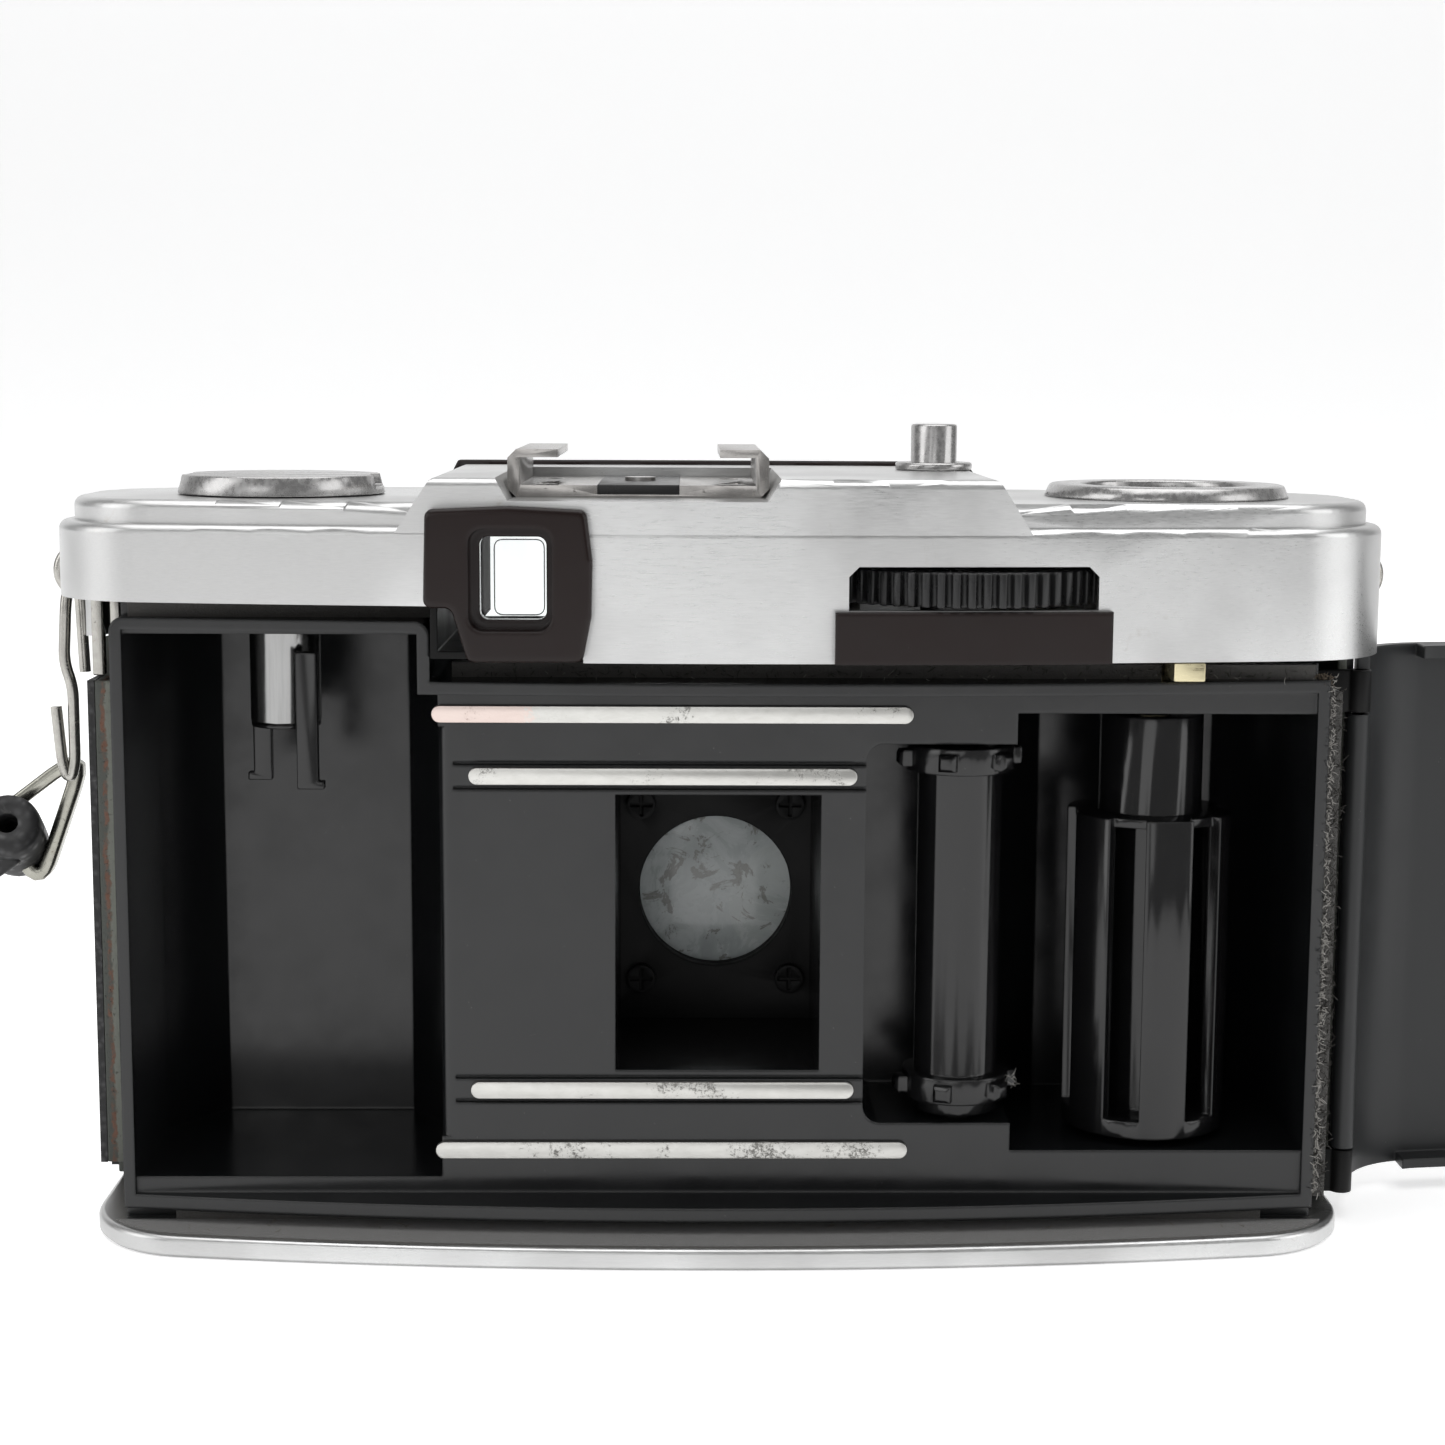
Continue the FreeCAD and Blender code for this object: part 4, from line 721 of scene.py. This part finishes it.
def own_piece(name, mesh, node, key):
    """Dresses a new mesh, lets it ride a CAD node's body and smooths it."""
    for polygon in mesh.polygons:
        polygon.use_smooth = True
    piece = link_new(name, mesh)
    dress(piece, key)
    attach(piece, BODY_OF[node])
    return piece


def swept_loop(name, centre, section, y_mm, node, key):
    """Closed strip that carries a small section of (out, along y) points round an (x, z) loop."""
    count, n = len(centre), len(section)
    verts, faces = [], []
    for i, point in enumerate(centre):
        along = (centre[(i + 1) % count] - centre[i - 1]).normalized()
        out = Vector((along.y, -along.x))
        for t, w in section:
            at = point + out * t
            verts.append(mm(at.x, y_mm + w, at.y))
    for i in range(count):
        for k in range(n):
            a, b = i * n + k, i * n + (k + 1) % n
            c, d = ((i + 1) % count) * n + (k + 1) % n, ((i + 1) % count) * n + k
            faces.append((a, b, c, d))
    mesh = bpy.data.meshes.new(name)
    mesh.from_pydata(verts, [], faces)
    return own_piece(name, mesh, node, key)


def strap_ring():
    """Flat strip bent into a triangle with soft corners."""
    half_t, half_w, chamfer = 0.6, 1.0, 0.22
    section = [(-half_t + chamfer, -half_w), (half_t - chamfer, -half_w), (half_t, -half_w + chamfer),
               (half_t, half_w - chamfer), (half_t - chamfer, half_w), (-half_t + chamfer, half_w),
               (-half_t, half_w - chamfer), (-half_t, -half_w + chamfer)]
    loop = rounded_loop(RING_CORNERS_MM, 1.1)
    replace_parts(swept_loop("strap_ring_strip", loop, section, RING_Y_MM, "strap_ring", "ring"), "strap_ring")


def finder_mask():
    """Thin frame line in the finder and the side wall of its mask."""
    thin = [(-0.05, -0.1), (0.05, -0.1), (0.05, 0.1), (-0.05, 0.1)]
    line = [(-20.3, 51.5), (-15.8, 51.5), (-15.8, 58.3), (-20.3, 58.3)]
    swept_loop("finder_frame_line", rounded_loop(line, 0.8), thin, 12.0, "finder_tube", "mask")
    wide = [(-0.9, -0.2), (0.9, -0.2), (0.9, 0.2), (-0.9, 0.2)]
    wall = [(-21.75, 51.9), (-21.6, 51.9), (-21.6, 59.6), (-21.75, 59.6)]
    swept_loop("finder_mask_wall", rounded_loop(wall, 0.02, 1), wide, 12.4, "finder_tube", "mask")


ROLL_FRONT_MM = Vector((-61.7, 0.2, 34.4))
ROLL_BACK_MM = Vector((-62.4, 6.9, 30.8))
ROLL_R_MM = 2.75
TAB_END_MM = Vector((-70.9, 3.5, 25.0))


def leather_roll():
    """Strap end rolled round the ring: a thick spiral sleeve, then the doubled strap."""
    axis = (ROLL_BACK_MM - ROLL_FRONT_MM).normalized()
    side = axis.cross(Vector((0, 0, 1))).normalized()
    lift = side.cross(axis)
    turns, rings = 40, 10
    verts, faces = [], []
    for j in range(rings + 1):
        t = j / rings
        swell = 1.0 - 0.10 * (2 * t - 1) ** 6
        at = ROLL_FRONT_MM.lerp(ROLL_BACK_MM, t)
        for wall in (ROLL_R_MM * swell, 0.9 + 0.15 * (1 - swell)):
            for i in range(turns):
                angle = 2 * math.pi * i / turns
                grow = wall * (1.0 + 0.05 * i / turns)
                verts.append(mm(*(at + (side * math.cos(angle) + lift * math.sin(angle)) * grow)))
    for j in range(rings):
        for wall in (0, 1):
            for i in range(turns):
                a = (j * 2 + wall) * turns + i
                b = (j * 2 + wall) * turns + (i + 1) % turns
                c, d = b + 2 * turns, a + 2 * turns
                faces.append((a, b, c, d) if wall == 0 else (d, c, b, a))
    for j, flip in ((0, False), (rings, True)):
        for i in range(turns):
            a, b = j * 2 * turns + i, j * 2 * turns + (i + 1) % turns
            c, d = b + turns, a + turns
            faces.append((a, b, c, d) if flip else (d, c, b, a))
    mesh = bpy.data.meshes.new("strap_roll")
    mesh.from_pydata(verts, [], faces)
    roll = own_piece("strap_roll", mesh, "strap_fold", "strap")
    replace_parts(roll, "strap_fold")
    root = ROLL_FRONT_MM.lerp(ROLL_BACK_MM, 0.5)
    along = (TAB_END_MM - root).normalized()
    across = Vector((0, 1, 0))
    thick = along.cross(across).normalized()
    verts, faces = [], []
    steps = 8
    for j in range(steps + 1):
        t = j / steps
        at = root.lerp(TAB_END_MM, t)
        half_t = 2.3 - 0.5 * math.sin(math.pi * t)
        half_w = 3.1
        for w, h in ((-half_w, -half_t), (half_w, -half_t), (half_w, half_t), (-half_w, half_t)):
            verts.append(mm(*(at + across * w + thick * h)))
    for j in range(steps):
        for k in range(4):
            a, b = j * 4 + k, j * 4 + (k + 1) % 4
            faces.append((a, b, b + 4, a + 4))
    faces += [(3, 2, 1, 0), tuple(steps * 4 + k for k in range(4))]
    mesh = bpy.data.meshes.new("strap_tab")
    mesh.from_pydata(verts, [], faces)
    tab = own_piece("strap_tab", mesh, "strap_fold", "strap")
    bevel = tab.modifiers.new("round", "BEVEL")
    bevel.width = 0.7 * MM
    bevel.segments = 3


def fibres(name, places, node, key, length_mm, radius_mm, seed):
    """Loose curled fibres, each starting near one of the places (millimetres)."""
    rng = random.Random(seed)
    verts, faces = [], []
    for place in places:
        heading = Vector([rng.uniform(-1, 1) for _ in range(3)]).normalized()
        bend = Vector([rng.uniform(-1, 1) for _ in range(3)])
        size = length_mm * rng.uniform(0.5, 1.3)
        point = Vector(place)
        side = heading.orthogonal().normalized()
        other = heading.cross(side)
        base = len(verts)
        steps = 4
        for j in range(steps + 1):
            thin = radius_mm * (1.0 - 0.5 * j / steps)
            for k in range(3):
                angle = 2 * math.pi * k / 3
                verts.append(mm(*(point + (side * math.cos(angle) + other * math.sin(angle)) * thin)))
            point = point + heading * size / steps
            heading = (heading + bend * 0.35).normalized()
        for j in range(steps):
            for k in range(3):
                a, b = base + j * 3 + k, base + j * 3 + (k + 1) % 3
                faces.append((a, b, b + 3, a + 3))
        faces += [(base + 2, base + 1, base), tuple(base + steps * 3 + k for k in range(3))]
    mesh = bpy.data.meshes.new(name)
    mesh.from_pydata(verts, [], faces)
    return own_piece(name, mesh, node, key)


def scattered(count, low, high, seed):
    rng = random.Random(seed)
    return [[rng.uniform(a, b) for a, b in zip(low, high)] for _ in range(count)]


strap_ring()
finder_mask()
leather_roll()
seal_lint = [
    fibres("hinge_side_fray", scattered(520, (50.35, -9.9, 4.2), (50.75, -8.6, 48.6), 3), "light_seals",
           "pale_lint", 0.55, 0.055, 4),
    fibres("hinge_side_fuzz", scattered(500, (50.5, -8.4, 4.0), (51.9, -7.3, 47.4), 5), "light_seals",
           "dark_fuzz", 0.7, 0.06, 6),
    fibres("groove_lint", scattered(26, (-21.5, -10.5, 48.4), (49.2, -9.3, 48.8), 9), "light_seals",
           "pale_lint", 0.6, 0.03, 10),
    fibres("base_lint", scattered(60, (-46.0, -12.4, 2.1), (46.0, -9.4, 2.3), 11), "light_seals",
           "brown_grime", 0.7, 0.03, 12),
]
for piece in seal_lint:
    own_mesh(piece)
fibres("groove_fuzz", scattered(360, (-21.5, -9.6, 48.35), (49.2, -7.6, 49.3), 7), "light_seals",
       "dark_fuzz", 0.6, 0.05, 8)
fibres("sprocket_lint", scattered(14, (24.6, -7.6, 13.0), (25.2, -6.6, 14.2), 13), "sprocket",
       "pale_lint", 0.8, 0.03, 14)
fibres("corner_grime", scattered(120, (49.0, -9.3, 47.6), (50.4, -8.6, 48.7), 15), "light_seals",
       "brown_grime", 0.5, 0.05, 16)
